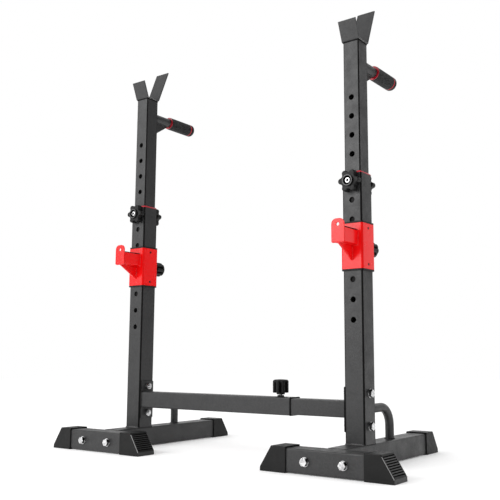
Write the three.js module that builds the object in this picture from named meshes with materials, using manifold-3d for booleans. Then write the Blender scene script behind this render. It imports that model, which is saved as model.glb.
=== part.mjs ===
// A squat stand: two height-adjustable uprights joined by a telescopic crossbar.
// Millimetres, +Z up. The crossbar runs along X, the hooks face -Y and the floor is at Z = 0.
// The origin is on the floor, midway along the width and the depth of the whole stand.

import * as THREE from 'three';
import { mergeVertices } from 'three/addons/utils/BufferGeometryUtils.js';
import Module from 'manifold-3d';

const wasm = await Module();
wasm.setup();

// Clearances
const seam = 0.3;
const overrun = 5;
const bite = 0.5;

// Layout
const standSpacing = 840;
const uprightTopHeight = 796;
const postTopHeight = 1183.5;
const hookDrop = 204;
const clampDrop = 24;
const crossbarHeight = 152.5;

// Foot tubes
const footWidth = 60;
const footWall = 2;
const footCorner = 4;
const frontFootLength = 296;
const frontFootSetback = 154.4;
const rearFootReach = 374.8;
const footFlangeWidth = 150;
const footFlangeMargin = 2;
const footFlangeThickness = 5;
const footBoltMargin = 19;

// Foot caps
const soleThickness = 2;
const capWall = 3.5;
const capPocketDepth = 34.2;
const capSoleLength = 80.6;
const capTopLength = 45.8;
const capLipHeight = 12;
const capRimWidth = 5;
const capGrooveDepth = 4;
const capGrooveWidth = 3.2;
const capGrooveCount = 9;
const capGrooveMargin = 4;

// Uprights and posts
const uprightWidth = 60;
const uprightWall = 2;
const uprightCorner = 4;
const postWall = 2;
const postCorner = 3;
const postLength = 713.5;
const holePitch = 55;
const holeDiameter = 16;
const uprightHoleDrop = 75.2;
const uprightHoleCount = 7;
const postHoleDrop = 166.3;
const postHoleCount = 10;

// Guide bushing at the top of the upright
const guideWall = 2.4;
const guideGap = 3;
const guideRimBase = 1.2;
const guideRimBevel = 3.8;
const guideRimInset = 3.5;

// Glide at the foot of the post
const glideRim = 6;
const glidePlugDepth = 18;

// Bar saddle on top of the post
const saddleWidth = 57;
const saddleThickness = 4;
const saddleOverhang = 1;
const saddleFrontHeight = 56;
const saddleRearHeight = 119;
const saddleLean = THREE.MathUtils.degToRad(21);

// Handle behind the post
const handleDrop = 53.5;
const handleDiameter = 30;
const handleWall = 2.5;
const gussetGap = 8.5;
const gussetDrop = 50;
const gussetThickness = 5;
const gussetNose = 3;
const gripSetback = 79;
const gripRingThickness = 4.5;
const gripDiameter = 43;
const gripRingDiameter = 42;
const gripLength = 95.4;
const gripChamfer = 1;
const endCapDiameter = 43;
const endCapLength = 14.5;
const endCapRadius = 7;
const endCapSocket = 10;

// Screws of the knobs and their welded nuts
const studDiameter = 10;
const studClearance = 0.3;
const weldNutSize = 17;
const weldNutHeight = 5;

// Star knobs that clamp the post
const starDiameter = 65;
const starLobeShare = 0.681;
const starValleyShare = 0.875;
const starLobeCount = 6;
const starThickness = 18;
const starBevel = 1.5;
const starStandoff = 2;
const starHubDiameter = 32;
const starHubHeight = 6;
const starRecessDiameter = 23;
const starRecessDepth = 7;
const starBackRecessDiameter = 27;
const starBackRecessDepth = 7;
const starHeadSize = 16;
const starHeadHeight = 4.5;

// Fluted knobs that clamp the hooks and the crossbar
const fluteDiameter = 48;
const fluteLobeShare = 1.12;
const fluteValleyShare = 0.25;
const fluteLobeCount = 8;
const fluteTurn = THREE.MathUtils.degToRad(10.7);
const fluteBodyHeight = 30;
const fluteCrownHeight = 5.5;
const fluteCrownInset = 3;
const fluteDomeHeight = 2.5;
const fluteFootChamfer = 1.5;
const fluteHubDiameter = 24;
const fluteHubHeight = 5;
const fluteHubStandoff = 2;

// Hook on its sleeve
const sleeveWall = 2;
const sleeveCorner = 5;
const sleeveLength = 126;
const linerWall = 1.1;
const linerRim = 4.5;
const linerDepth = 22;
const linerPinDiameter = 6.5;
const linerPinSetback = 13;
const linerPinProud = 0.5;
const armWidth = 40;
const armHeight = 40;
const armWall = 3;
const armCorner = 2;
const armTop = 42;
const hookGap = 69.8;
const plateThickness = 4;
const plateHeight = 63.5;
const plateRadius = 15;
const plateHoleDiameter = 9.5;
const plateHoleSetback = 15.5;
const armVentDiameter = 10;
const hookGussetDrop = 43;
const hookGussetThickness = 5;
const hookGussetNose = 2.5;
const padThickness = 1.5;

// Crossbar
const crossOuterWidth = 50;
const crossOuterWall = 1.5;
const crossOuterCorner = 4;
const crossOuterLength = 594.7;
const crossInnerWall = 2;
const crossInnerCorner = 3;
const crossInnerLength = 530;
const crossFlangeWidth = 55;
const crossFlangeHeight = 120;
const crossFlangeThickness = 4;
const crossBoltMargin = 17;
const crossKnobSetback = 47;
const collarRim = 3;
const collarProud = 1;
const collarWall = 0.7;
const collarSeam = 0.15;
const collarDepth = 25;

// Brace between the upright and its rear foot
const braceDiameter = 25;
const braceWall = 2;
const braceHeight = 151.5;
const braceReach = 167;
const braceBend = 52;

// Bolts with washer and nut
const boltDiameter = 12;
const boltClearance = 0.5;
const boltHeadSize = 19;
const boltHeadHeight = 7.5;
const washerDiameter = 24;
const washerThickness = 2.5;
const nutHeight = 10;
const boltTip = 4;

// Facet counts
const cornerSides = 2;
const holeSides = 12;
const roundSides = 20;
const braceSides = 6;
const braceSteps = 8;
const lobeSides = 2;

const quarterTurn = Math.PI / 2;
const hexFlatsShare = Math.sqrt(3);
const domeShoulderShare = 0.75;

// Sizes and places worked out from the ones above
const postWidth = uprightWidth - 2 * (uprightWall + seam + guideWall + seam);
const sleeveWidth = uprightWidth + 2 * (seam + linerWall + seam + sleeveWall);
const crossInnerWidth = crossOuterWidth - 2 * (crossOuterWall + collarSeam + collarWall + collarSeam);
const crossBoltSpread = crossFlangeHeight - 2 * crossBoltMargin;
const footBoltSpread = footFlangeWidth - 2 * footBoltMargin;
const clampHeight = uprightTopHeight - clampDrop;
const hookHeight = uprightTopHeight - hookDrop;
const guideDepth = clampDrop - studDiameter / 2 - guideGap;
const footAxisHeight = soleThickness + footWidth / 2;
const footTopHeight = soleThickness + footWidth;
const uprightBase = footTopHeight + seam;
const postBase = postTopHeight - postLength;
const capHeight = footTopHeight + seam + capWall;
const capWidth = footWidth + 2 * (seam + capWall);
const frontFootFace = frontFootSetback + footWidth / 2;
const rearFootStart = footWidth / 2 - frontFootSetback + seam;
const rearCapStart = rearFootReach - capPocketDepth;
const crossOuterStart = uprightWidth / 2 + seam;
const boltProjection = seam + washerThickness + boltHeadHeight;
const depthMiddle = (rearCapStart + capSoleLength - frontFootFace - boltProjection) / 2;

const paints = {
  frame: { color: 0x2f3033, roughness: 0.62, metalness: 0.35 },
  hook: { color: 0xd8141c, roughness: 0.45, metalness: 0.15 },
  plastic: { color: 0x1b1b1d, roughness: 0.55, metalness: 0 },
  redPlastic: { color: 0xb31226, roughness: 0.5, metalness: 0 },
  foam: { color: 0x202022, roughness: 0.95, metalness: 0 },
  zinc: { color: 0xc9ccd0, roughness: 0.28, metalness: 1 },
};

// Solids

function toSolid(geometry) {
  const bare = geometry.index ? geometry.clone() : mergeVertices(geometry.clone());
  bare.deleteAttribute('normal');
  bare.deleteAttribute('uv');
  const merged = mergeVertices(bare);
  const corners = merged.index.array;
  const kept = [];
  for (let i = 0; i < corners.length; i += 3) {
    const [a, b, c] = [corners[i], corners[i + 1], corners[i + 2]];
    if (a !== b && b !== c && c !== a) kept.push(a, b, c);
  }
  return new wasm.Manifold(new wasm.Mesh({
    numProp: 3,
    vertProperties: new Float32Array(merged.attributes.position.array),
    triVerts: new Uint32Array(kept),
  }));
}

function toGeometry(solid) {
  const mesh = solid.getMesh();
  const geometry = new THREE.BufferGeometry();
  geometry.setAttribute('position', new THREE.BufferAttribute(mesh.vertProperties, 3));
  geometry.setIndex(new THREE.BufferAttribute(mesh.triVerts, 1));
  geometry.computeVertexNormals();
  return geometry;
}

function join(...geometries) {
  return toGeometry(geometries.map(toSolid).reduce((whole, piece) => whole.add(piece)));
}

function cut(geometry, ...tools) {
  const start = toSolid(geometry);
  return toGeometry(tools.map(toSolid).reduce((whole, tool) => whole.subtract(tool), start));
}

function common(a, b) {
  return toGeometry(toSolid(a).intersect(toSolid(b)));
}

// Outlines

function roundedRectangle(width, height, radius) {
  const shape = new THREE.Shape();
  const x = width / 2 - radius;
  const y = height / 2 - radius;
  shape.absarc(x, y, radius, 0, quarterTurn);
  shape.absarc(-x, y, radius, quarterTurn, 2 * quarterTurn);
  shape.absarc(-x, -y, radius, 2 * quarterTurn, 3 * quarterTurn);
  shape.absarc(x, -y, radius, 3 * quarterTurn, 4 * quarterTurn);
  shape.closePath();
  return shape;
}

function polygon(points) {
  return new THREE.Shape(points.map(([x, y]) => new THREE.Vector2(x, y)));
}

function squareRing(outer, inner, outerRadius, innerRadius) {
  const shape = roundedRectangle(outer, outer, outerRadius);
  shape.holes.push(roundedRectangle(inner, inner, innerRadius));
  return shape;
}

function roundRing(diameter, wall) {
  const shape = new THREE.Shape();
  const hole = new THREE.Path();
  shape.absarc(0, 0, diameter / 2, 0, 4 * quarterTurn);
  hole.absarc(0, 0, diameter / 2 - wall, 0, 4 * quarterTurn);
  shape.holes.push(hole);
  return shape;
}

function lobedOutline(diameter, lobeShare, valleyShare, count) {
  const step = Math.PI / count;
  const lobeSpan = lobeShare * Math.sin(step);
  const lobeCentre = diameter / 2 / (1 + lobeSpan);
  const lobeRadius = lobeCentre * lobeSpan;
  const valleyRadius = lobeRadius * valleyShare;
  const reach = lobeRadius + valleyRadius;
  const side = lobeCentre * Math.sin(step);
  const valleyCentre = lobeCentre * Math.cos(step) + Math.sqrt(reach ** 2 - side ** 2);
  const valley = new THREE.Vector2(valleyCentre * Math.cos(step), valleyCentre * Math.sin(step));
  const lean = Math.atan2(valley.y, valley.x - lobeCentre);
  const shape = new THREE.Shape();
  for (let i = 0; i < count; i += 1) {
    const turn = 2 * step * i;
    const lobeX = lobeCentre * Math.cos(turn);
    const lobeY = lobeCentre * Math.sin(turn);
    const valleyX = valleyCentre * Math.cos(turn + step);
    const valleyY = valleyCentre * Math.sin(turn + step);
    const valleyFrom = turn + lean + Math.PI;
    const valleyTo = turn + 2 * step - lean - Math.PI;
    shape.absarc(lobeX, lobeY, lobeRadius, turn - lean, turn + lean);
    shape.absarc(valleyX, valleyY, valleyRadius, valleyFrom, valleyTo, true);
  }
  shape.closePath();
  return shape;
}

// Basic bodies, each standing on local Z = 0

function extrude(shape, depth, curveSegments = cornerSides) {
  return new THREE.ExtrudeGeometry(shape, { depth, bevelEnabled: false, curveSegments });
}

function cylinder(diameter, height, sides = holeSides) {
  const geometry = new THREE.CylinderGeometry(diameter / 2, diameter / 2, height, sides);
  return geometry.rotateX(quarterTurn).translate(0, 0, height / 2);
}

function hexagon(flats, height) {
  return cylinder(2 * flats / hexFlatsShare, height, 6);
}

function squareTube(width, wall, corner, length) {
  const inner = width - 2 * wall;
  return extrude(squareRing(width, inner, corner, Math.max(corner - wall, wall / 2)), length);
}

// A round hole through a tube that stands along Z, made square to X or to Y

function crossHole(diameter, span, height, axis = 'y') {
  const hole = cylinder(diameter, span + 2 * overrun).translate(0, 0, -overrun - span / 2);
  if (axis === 'x') hole.rotateY(quarterTurn);
  else hole.rotateX(quarterTurn);
  return hole.translate(0, 0, height);
}

function holeRow(width, count, highest) {
  const heights = Array.from({ length: count }, (_, i) => highest - i * holePitch);
  return heights.map((height) => crossHole(holeDiameter, width, height));
}

function weldNut() {
  const nut = hexagon(weldNutSize, weldNutHeight + bite);
  return nut.translate(0, 0, -bite);
}

// Feet

function boltHolePair(spread, thickness) {
  return [-1, 1].map((side) => cylinder(boltDiameter + 2 * boltClearance, thickness + 2 * overrun)
    .translate(side * spread / 2, 0, -overrun));
}

function frontFootTube() {
  const tube = squareTube(footWidth, footWall, footCorner, frontFootLength);
  const holes = [-1, 1].map((side) => crossHole(
    boltDiameter + 2 * boltClearance,
    footWidth,
    frontFootLength / 2 + side * footBoltSpread / 2,
  ));
  return cut(tube, ...holes);
}

function rearFootTube() {
  const length = rearFootReach - rearFootStart;
  const tube = squareTube(footWidth, footWall, footCorner, length);
  const height = footWidth - 2 * footFlangeMargin;
  const outline = roundedRectangle(footFlangeWidth, height, footCorner);
  const flange = extrude(outline, footFlangeThickness);
  const holes = boltHolePair(footBoltSpread, footFlangeThickness);
  return cut(join(flange, tube), ...holes);
}

// A cap that closes a foot tube: local +X points out of the tube, Z = 0 is the floor

function footCap() {
  const profile = polygon([
    [0, 0],
    [capSoleLength, 0],
    [capSoleLength, capLipHeight],
    [capTopLength, capHeight],
    [0, capHeight],
  ]);
  const body = extrude(profile, capWidth).rotateX(quarterTurn).translate(0, capWidth / 2, 0);
  const pocketWidth = footWidth + 2 * seam;
  const pocketOutline = roundedRectangle(pocketWidth, pocketWidth, footCorner);
  const pocket = extrude(pocketOutline, capPocketDepth + seam + overrun)
    .rotateY(quarterTurn)
    .translate(-overrun, 0, footAxisHeight);
  return cut(body, pocket, ...capGrooves());
}

function capGrooves() {
  const slope = new THREE.Vector2(capTopLength - capSoleLength, capHeight - capLipHeight);
  const run = slope.length() - 2 * capGrooveMargin;
  const lean = Math.atan2(slope.y, slope.x);
  const pitch = run / capGrooveCount;
  const length = capWidth - 2 * capRimWidth;
  return Array.from({ length: capGrooveCount }, (_, i) => {
    const groove = new THREE.BoxGeometry(capGrooveWidth, length, 2 * capGrooveDepth);
    groove.translate(capGrooveMargin + (i + 0.5) * pitch, 0, 0);
    return groove.rotateY(-lean).translate(capSoleLength, 0, capLipHeight);
  });
}

// The brace's centre line: a straight run, a quarter bend and a straight drop, one step for each straight

class BraceLine extends THREE.Curve {
  getPoint(t, target = new THREE.Vector3()) {
    const station = t * braceSteps;
    const start = uprightWidth / 2 + seam;
    const bendY = braceReach - braceBend;
    const bendZ = braceHeight - braceBend;
    if (station <= 1) return target.set(0, THREE.MathUtils.lerp(start, bendY, station), braceHeight);
    if (station >= braceSteps - 1) {
      const drop = THREE.MathUtils.lerp(footTopHeight + seam, bendZ, braceSteps - station);
      return target.set(0, braceReach, drop);
    }
    const angle = quarterTurn * (station - 1) / (braceSteps - 2);
    return target.set(0, bendY + braceBend * Math.sin(angle), bendZ + braceBend * Math.cos(angle));
  }

  getPointAt(u, target) {
    return this.getPoint(u, target);
  }

  getTangentAt(u, target) {
    return this.getTangent(u, target);
  }
}

function brace() {
  return toGeometry(toSolid(new THREE.ExtrudeGeometry(roundRing(braceDiameter, braceWall), {
    extrudePath: new BraceLine(),
    steps: braceSteps,
    curveSegments: braceSides,
  })));
}

// Upright, its guide and the sliding post

function lowerUpright() {
  const tube = squareTube(uprightWidth, uprightWall, uprightCorner, uprightTopHeight - uprightBase);
  const clampAt = clampHeight - uprightBase;
  const crossAt = crossbarHeight - uprightBase;
  const nuts = [-1, 1].map((side) => weldNut()
    .translate(0, 0, uprightWidth / 2)
    .rotateX(side * quarterTurn)
    .translate(0, 0, clampAt));
  const boltHoles = [-1, 1].map((side) => crossHole(
    boltDiameter + 2 * boltClearance,
    uprightWidth,
    crossAt + side * crossBoltSpread / 2,
    'x',
  ));
  const studHole = crossHole(studDiameter + 2 * studClearance, uprightWidth + 2 * weldNutHeight, clampAt);
  const pinHoles = holeRow(uprightWidth, uprightHoleCount, uprightTopHeight - uprightHoleDrop - uprightBase);
  return cut(join(tube, ...nuts), studHole, ...boltHoles, ...pinHoles);
}

function upperPost() {
  const tube = squareTube(postWidth, postWall, postCorner, postLength);
  return cut(tube, ...holeRow(postWidth, postHoleCount, postLength - postHoleDrop));
}

function guideBushing() {
  const bore = postWidth + 2 * seam;
  const insert = uprightWidth - 2 * uprightWall - 2 * seam;
  const plug = extrude(roundedRectangle(insert, insert, uprightCorner / 2), guideDepth + bite)
    .translate(0, 0, -guideDepth);
  const rimHeight = guideRimBase + guideRimBevel;
  const rimOutline = roundedRectangle(uprightWidth, uprightWidth, uprightCorner);
  const rim = extrude(rimOutline, rimHeight).translate(0, 0, seam);
  const spread = 2 * guideRimInset / guideRimBevel;
  const baseWidth = uprightWidth + spread * guideRimBase;
  const topRadius = (uprightWidth - 2 * guideRimInset) / Math.SQRT2;
  const taper = new THREE.CylinderGeometry(topRadius, baseWidth / Math.SQRT2, rimHeight, 4)
    .rotateX(quarterTurn)
    .rotateZ(quarterTurn / 2)
    .translate(0, 0, rimHeight / 2 + seam);
  const hole = extrude(roundedRectangle(bore, bore, postCorner), guideDepth + rimHeight + 2 * overrun)
    .translate(0, 0, -guideDepth - overrun);
  return cut(join(plug, common(rim, taper)), hole);
}

function postGlide() {
  const rimWidth = uprightWidth - 2 * uprightWall - 2 * seam;
  const plugWidth = postWidth - 2 * postWall - 2 * seam;
  const rim = extrude(roundedRectangle(rimWidth, rimWidth, uprightCorner / 2), glideRim);
  const plug = extrude(roundedRectangle(plugWidth, plugWidth, postCorner / 2), glideRim + glidePlugDepth);
  return join(rim, plug);
}

// A strip of plate bent into a V with a flat floor, standing on Z = 0

function barSaddle() {
  const half = postWidth / 2 + saddleOverhang;
  const tilt = Math.tan(saddleLean);
  const inset = saddleThickness * (1 - Math.sin(saddleLean)) / Math.cos(saddleLean);
  const rise = saddleThickness * Math.sin(saddleLean);
  const thick = saddleThickness * Math.cos(saddleLean);
  const frontTip = half + saddleFrontHeight * tilt;
  const rearTip = half + saddleRearHeight * tilt;
  const section = polygon([
    [-half, 0],
    [half, 0],
    [rearTip, saddleRearHeight],
    [rearTip - thick, saddleRearHeight + rise],
    [half - inset, saddleThickness],
    [inset - half, saddleThickness],
    [thick - frontTip, saddleFrontHeight + rise],
    [-frontTip, saddleFrontHeight],
  ]);
  return extrude(section, saddleWidth)
    .rotateX(quarterTurn)
    .rotateZ(quarterTurn)
    .translate(-saddleWidth / 2, 0, 0);
}

// Handle parts: local Z runs out along the handle

function handleTube(length) {
  return extrude(roundRing(handleDiameter, handleWall), length, roundSides / 2);
}

function handleGusset() {
  const reach = gripSetback - gussetGap;
  const plate = polygon([
    [0, 0],
    [reach, 0],
    [reach, -gussetNose],
    [0, -gussetDrop],
  ]);
  return extrude(plate, gussetThickness)
    .rotateX(quarterTurn)
    .rotateZ(quarterTurn)
    .translate(-gussetThickness / 2, 0, 0);
}

function turned(points) {
  const profile = points.map(([radius, along]) => new THREE.Vector2(radius, along));
  return toGeometry(toSolid(new THREE.LatheGeometry(profile, roundSides).rotateX(quarterTurn)));
}

function sleeveRing(diameter, length, chamfer) {
  const inner = handleDiameter / 2 + seam;
  const outer = diameter / 2;
  return turned([
    [inner, 0],
    [outer - chamfer, 0],
    [outer, chamfer],
    [outer, length - chamfer],
    [outer - chamfer, length],
    [inner, length],
    [inner, 0],
  ]);
}

function handleEndCap() {
  const outer = endCapDiameter / 2;
  const inner = handleDiameter / 2 + seam;
  const arcSteps = 4;
  const arc = Array.from({ length: arcSteps + 1 }, (_, i) => {
    const angle = quarterTurn * i / arcSteps;
    const radius = outer - endCapRadius * (1 - Math.cos(angle));
    return [radius, endCapLength - endCapRadius * (1 - Math.sin(angle))];
  });
  return turned([
    [0, endCapSocket],
    [inner, endCapSocket],
    [inner, 0],
    [outer, 0],
    ...arc,
    [0, endCapLength],
  ]);
}

// Knobs: local Z points away from the part that the screw is in, Z = 0 is that part's face

function starKnob(studReach) {
  const outline = lobedOutline(starDiameter, starLobeShare, starValleyShare, starLobeCount);
  const star = new THREE.ExtrudeGeometry(outline, {
    depth: starThickness - 2 * starBevel,
    bevelThickness: starBevel,
    bevelSize: starBevel,
    bevelOffset: -starBevel,
    bevelSegments: 1,
    curveSegments: lobeSides,
  }).translate(0, 0, starStandoff + starBevel);
  const face = starStandoff + starThickness;
  const hub = cylinder(starHubDiameter, starThickness + starHubHeight, roundSides)
    .translate(0, 0, starStandoff);
  const recess = cylinder(starRecessDiameter, starRecessDepth + overrun, roundSides)
    .translate(0, 0, face + starHubHeight - starRecessDepth);
  const back = cylinder(starBackRecessDiameter, starBackRecessDepth + overrun, roundSides)
    .translate(0, 0, starStandoff - overrun);
  const head = hexagon(starHeadSize, starHeadHeight + bite)
    .translate(0, 0, face + starHubHeight - starRecessDepth - bite);
  const stud = cylinder(studDiameter, studReach + face).translate(0, 0, -studReach);
  return join(cut(join(star, hub), recess, back), head, stud);
}

function flutedKnob(studReach) {
  const bodyStart = weldNutHeight + fluteHubStandoff + fluteHubHeight;
  const bodyHeight = fluteBodyHeight + fluteCrownHeight;
  const outline = lobedOutline(fluteDiameter, fluteLobeShare, fluteValleyShare, fluteLobeCount);
  const lobes = extrude(outline, bodyHeight + fluteDomeHeight + bite, lobeSides)
    .rotateZ(fluteTurn)
    .translate(0, 0, bodyStart);
  const radius = fluteDiameter / 2 + bite;
  const crownStart = bodyStart + fluteBodyHeight;
  const envelope = turned([
    [0, bodyStart],
    [radius - fluteFootChamfer, bodyStart],
    [radius, bodyStart + fluteFootChamfer],
    [radius, crownStart],
    [radius - fluteCrownInset, bodyStart + bodyHeight],
    [radius / 2, bodyStart + bodyHeight + fluteDomeHeight * domeShoulderShare],
    [0, bodyStart + bodyHeight + fluteDomeHeight],
  ]);
  const hubStart = weldNutHeight + fluteHubStandoff;
  const hub = cylinder(fluteHubDiameter, fluteHubHeight + bite, roundSides).translate(0, 0, hubStart);
  const stud = cylinder(studDiameter, studReach + hubStart + bite).translate(0, 0, -studReach);
  return join(common(lobes, envelope), hub, stud);
}

// Hook: local Z = 0 is the middle of the sleeve, and the arm points to -Y

function hook() {
  const face = sleeveWidth / 2;
  const armMiddle = armTop - armHeight / 2;
  const sleeve = squareTube(sleeveWidth, sleeveWall, sleeveCorner, sleeveLength)
    .translate(0, 0, -sleeveLength / 2);
  const arm = extrude(roundedRectangle(armWidth, armHeight, armCorner), hookGap + 2 * bite)
    .rotateX(quarterTurn)
    .translate(0, bite - face, armMiddle);
  const armInside = extrude(
    roundedRectangle(armWidth - 2 * armWall, armHeight - 2 * armWall, armCorner / 2),
    hookGap,
  ).rotateX(quarterTurn).translate(0, -face, armMiddle);
  const plate = hookPlate().translate(0, -face - hookGap, armTop - armHeight);
  const gusset = hookGusset().translate(0, bite - face, armTop - armHeight);
  const nut = weldNut().rotateX(-quarterTurn).translate(0, face, 0);
  const studHole = cylinder(studDiameter + 2 * studClearance, sleeveWall + weldNutHeight + 2 * overrun)
    .rotateX(-quarterTurn)
    .translate(0, face - sleeveWall - overrun, 0);
  const vent = cylinder(armVentDiameter, sleeveWall + 2 * overrun)
    .rotateX(quarterTurn)
    .translate(0, overrun - face, armMiddle);
  const pinHoles = [-1, 1].map((end) => crossHole(
    linerPinDiameter + 2 * studClearance,
    sleeveWidth,
    end * (sleeveLength / 2 - linerPinSetback),
    'x',
  ));
  return cut(join(sleeve, arm, plate, gusset, nut), armInside, studHole, vent, ...pinHoles);
}

function hookPlate() {
  const half = armWidth / 2;
  const shape = new THREE.Shape();
  shape.moveTo(-half, 0);
  shape.lineTo(half, 0);
  shape.absarc(half - plateRadius, plateHeight - plateRadius, plateRadius, 0, quarterTurn);
  shape.absarc(plateRadius - half, plateHeight - plateRadius, plateRadius, quarterTurn, 2 * quarterTurn);
  shape.closePath();
  const plate = extrude(shape, plateThickness, 2 * cornerSides).rotateX(quarterTurn);
  const hole = cylinder(plateHoleDiameter, plateThickness + 2 * overrun)
    .rotateX(quarterTurn)
    .translate(0, overrun, plateHeight - plateHoleSetback);
  return cut(plate, hole);
}

function hookGusset() {
  const plate = polygon([
    [0, bite],
    [0, -hookGussetDrop],
    [-hookGap, -hookGussetNose],
    [-hookGap, bite],
  ]);
  return extrude(plate, hookGussetThickness)
    .rotateX(quarterTurn)
    .rotateZ(quarterTurn)
    .translate(-hookGussetThickness / 2, 0, 0);
}

// A plastic liner for one end of the hook's sleeve: Z = 0 is the sleeve's end, the rim is above it

function hookLiner() {
  const outer = sleeveWidth - 2 * sleeveWall - 2 * seam;
  const bore = uprightWidth + 2 * seam;
  const liningOutline = squareRing(outer, bore, sleeveCorner - sleeveWall, uprightCorner);
  const rimOutline = squareRing(sleeveWidth, bore, sleeveCorner, uprightCorner);
  const lining = extrude(liningOutline, linerDepth + bite).translate(0, 0, -linerDepth);
  const rim = extrude(rimOutline, linerRim).translate(0, 0, seam);
  const pinReach = sleeveWidth / 2 + linerPinProud - bore / 2;
  const pins = [-1, 1].map((side) => cylinder(linerPinDiameter, pinReach)
    .translate(0, 0, bore / 2)
    .rotateY(side * quarterTurn)
    .translate(0, 0, -linerPinSetback));
  return join(lining, rim, ...pins);
}

function hookPad() {
  const length = hookGap - 2 * seam;
  return extrude(roundedRectangle(armWidth, length, armCorner), padThickness);
}

// Crossbar: local Z runs along the tube, away from its flange

function crossFlange() {
  const outline = roundedRectangle(crossFlangeWidth, crossFlangeHeight, crossOuterCorner);
  const holes = boltHolePair(crossBoltSpread, crossFlangeThickness).map((hole) => hole.rotateZ(quarterTurn));
  return cut(extrude(outline, crossFlangeThickness), ...holes);
}

function crossbarOuter() {
  const tube = squareTube(crossOuterWidth, crossOuterWall, crossOuterCorner, crossOuterLength);
  const knobAt = crossOuterLength - crossKnobSetback;
  const nut = weldNut().rotateX(-quarterTurn).translate(0, crossOuterWidth / 2, knobAt);
  const studHole = cylinder(studDiameter + 2 * studClearance, crossOuterWall + weldNutHeight + 2 * overrun)
    .rotateX(-quarterTurn)
    .translate(0, crossOuterWidth / 2 - crossOuterWall - overrun, knobAt);
  return cut(join(crossFlange(), tube, nut), studHole);
}

function crossbarInner() {
  const tube = squareTube(crossInnerWidth, crossInnerWall, crossInnerCorner, crossInnerLength);
  return join(crossFlange(), tube);
}

function crossbarCollar() {
  const insert = crossOuterWidth - 2 * (crossOuterWall + collarSeam);
  const bore = crossInnerWidth + 2 * collarSeam;
  const liningOutline = squareRing(insert, bore, crossOuterCorner / 2, crossInnerCorner);
  const rimWidth = crossOuterWidth + 2 * collarProud;
  const rimOutline = squareRing(rimWidth, bore, crossOuterCorner, crossInnerCorner);
  const lining = extrude(liningOutline, collarDepth + bite).translate(0, 0, -collarDepth);
  const rim = extrude(rimOutline, collarRim).translate(0, 0, seam);
  return join(lining, rim);
}

// A bolt with its washer and nut: Z = 0 is the face under the washer, and the shank runs to +Z

function bolt(grip) {
  const washer = cylinder(washerDiameter, washerThickness, roundSides)
    .translate(0, 0, -seam - washerThickness);
  const head = hexagon(boltHeadSize, boltHeadHeight + bite)
    .translate(0, 0, -seam - washerThickness - boltHeadHeight);
  const shank = cylinder(boltDiameter, grip + nutHeight + boltTip + washerThickness, holeSides)
    .translate(0, 0, -washerThickness);
  const nut = hexagon(boltHeadSize, nutHeight).translate(0, 0, grip + seam);
  return join(washer, head, shank, nut);
}

// Assembly

function part(parent, name, geometry, paint, place = [0, 0, 0], turn = [0, 0, 0]) {
  const mesh = new THREE.Mesh(geometry, new THREE.MeshStandardMaterial(paints[paint]));
  mesh.name = name;
  mesh.position.set(...place);
  mesh.rotation.set(...turn);
  parent.add(mesh);
  return mesh;
}

function section(parent, place = [0, 0, 0], turn = [0, 0, 0]) {
  const group = new THREE.Group();
  group.position.set(...place);
  group.rotation.set(...turn);
  parent.add(group);
  return group;
}

function addFeet(stand, side, inward) {
  const frontStart = [-frontFootLength / 2, -frontFootSetback, footAxisHeight];
  const rearStart = [0, rearFootStart, footAxisHeight];
  const backwards = [-quarterTurn, 0, 0];
  part(stand, `front_foot_tube_${side}`, frontFootTube(), 'frame', frontStart, [0, quarterTurn, 0]);
  part(stand, `rear_foot_tube_${side}`, rearFootTube(), 'frame', rearStart, backwards);
  part(stand, `rear_foot_cap_${side}`, footCap(), 'plastic', [0, rearCapStart, 0], [0, 0, quarterTurn]);
  part(stand, `foot_brace_${side}`, brace(), 'frame');
  const capStart = frontFootLength / 2 - capPocketDepth;
  const grip = footWidth + seam + footFlangeThickness;
  for (const [end, way] of [['inner', inward], ['outer', -inward]]) {
    const capPlace = [way * capStart, -frontFootSetback, 0];
    const boltPlace = [way * footBoltSpread / 2, -frontFootFace, footAxisHeight];
    const capTurn = [0, 0, way > 0 ? 0 : 2 * quarterTurn];
    part(stand, `front_foot_cap_${end}_${side}`, footCap(), 'plastic', capPlace, capTurn);
    part(stand, `foot_bolt_${end}_${side}`, bolt(grip), 'zinc', boltPlace, backwards);
  }
}

function addUpright(stand, side, inward) {
  part(stand, `lower_upright_${side}`, lowerUpright(), 'frame', [0, 0, uprightBase]);
  part(stand, `guide_bushing_${side}`, guideBushing(), 'redPlastic', [0, 0, uprightTopHeight]);
  const studReach = (uprightWidth - postWidth) / 2 - seam;
  for (const [end, way] of [['front', 1], ['rear', -1]]) {
    const face = [0, -way * uprightWidth / 2, clampHeight];
    part(stand, `${end}_star_knob_${side}`, starKnob(studReach), 'plastic', face, [way * quarterTurn, 0, 0]);
  }
  const grip = uprightWidth + seam + crossFlangeThickness;
  for (const [end, way] of [['upper', 1], ['lower', -1]]) {
    const place = [-inward * uprightWidth / 2, 0, crossbarHeight + way * crossBoltSpread / 2];
    part(stand, `crossbar_bolt_${end}_${side}`, bolt(grip), 'zinc', place, [0, inward * quarterTurn, 0]);
  }
}

function addPost(stand, side) {
  const post = section(stand, [0, 0, postBase]);
  part(post, `upper_post_${side}`, upperPost(), 'frame');
  part(post, `post_glide_${side}`, postGlide(), 'plastic', [0, 0, -glideRim - seam]);
  part(post, `bar_saddle_${side}`, barSaddle(), 'frame', [0, 0, postLength + seam]);
  addHandle(section(post, [0, postWidth / 2, postLength - handleDrop]), side);
}

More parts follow.
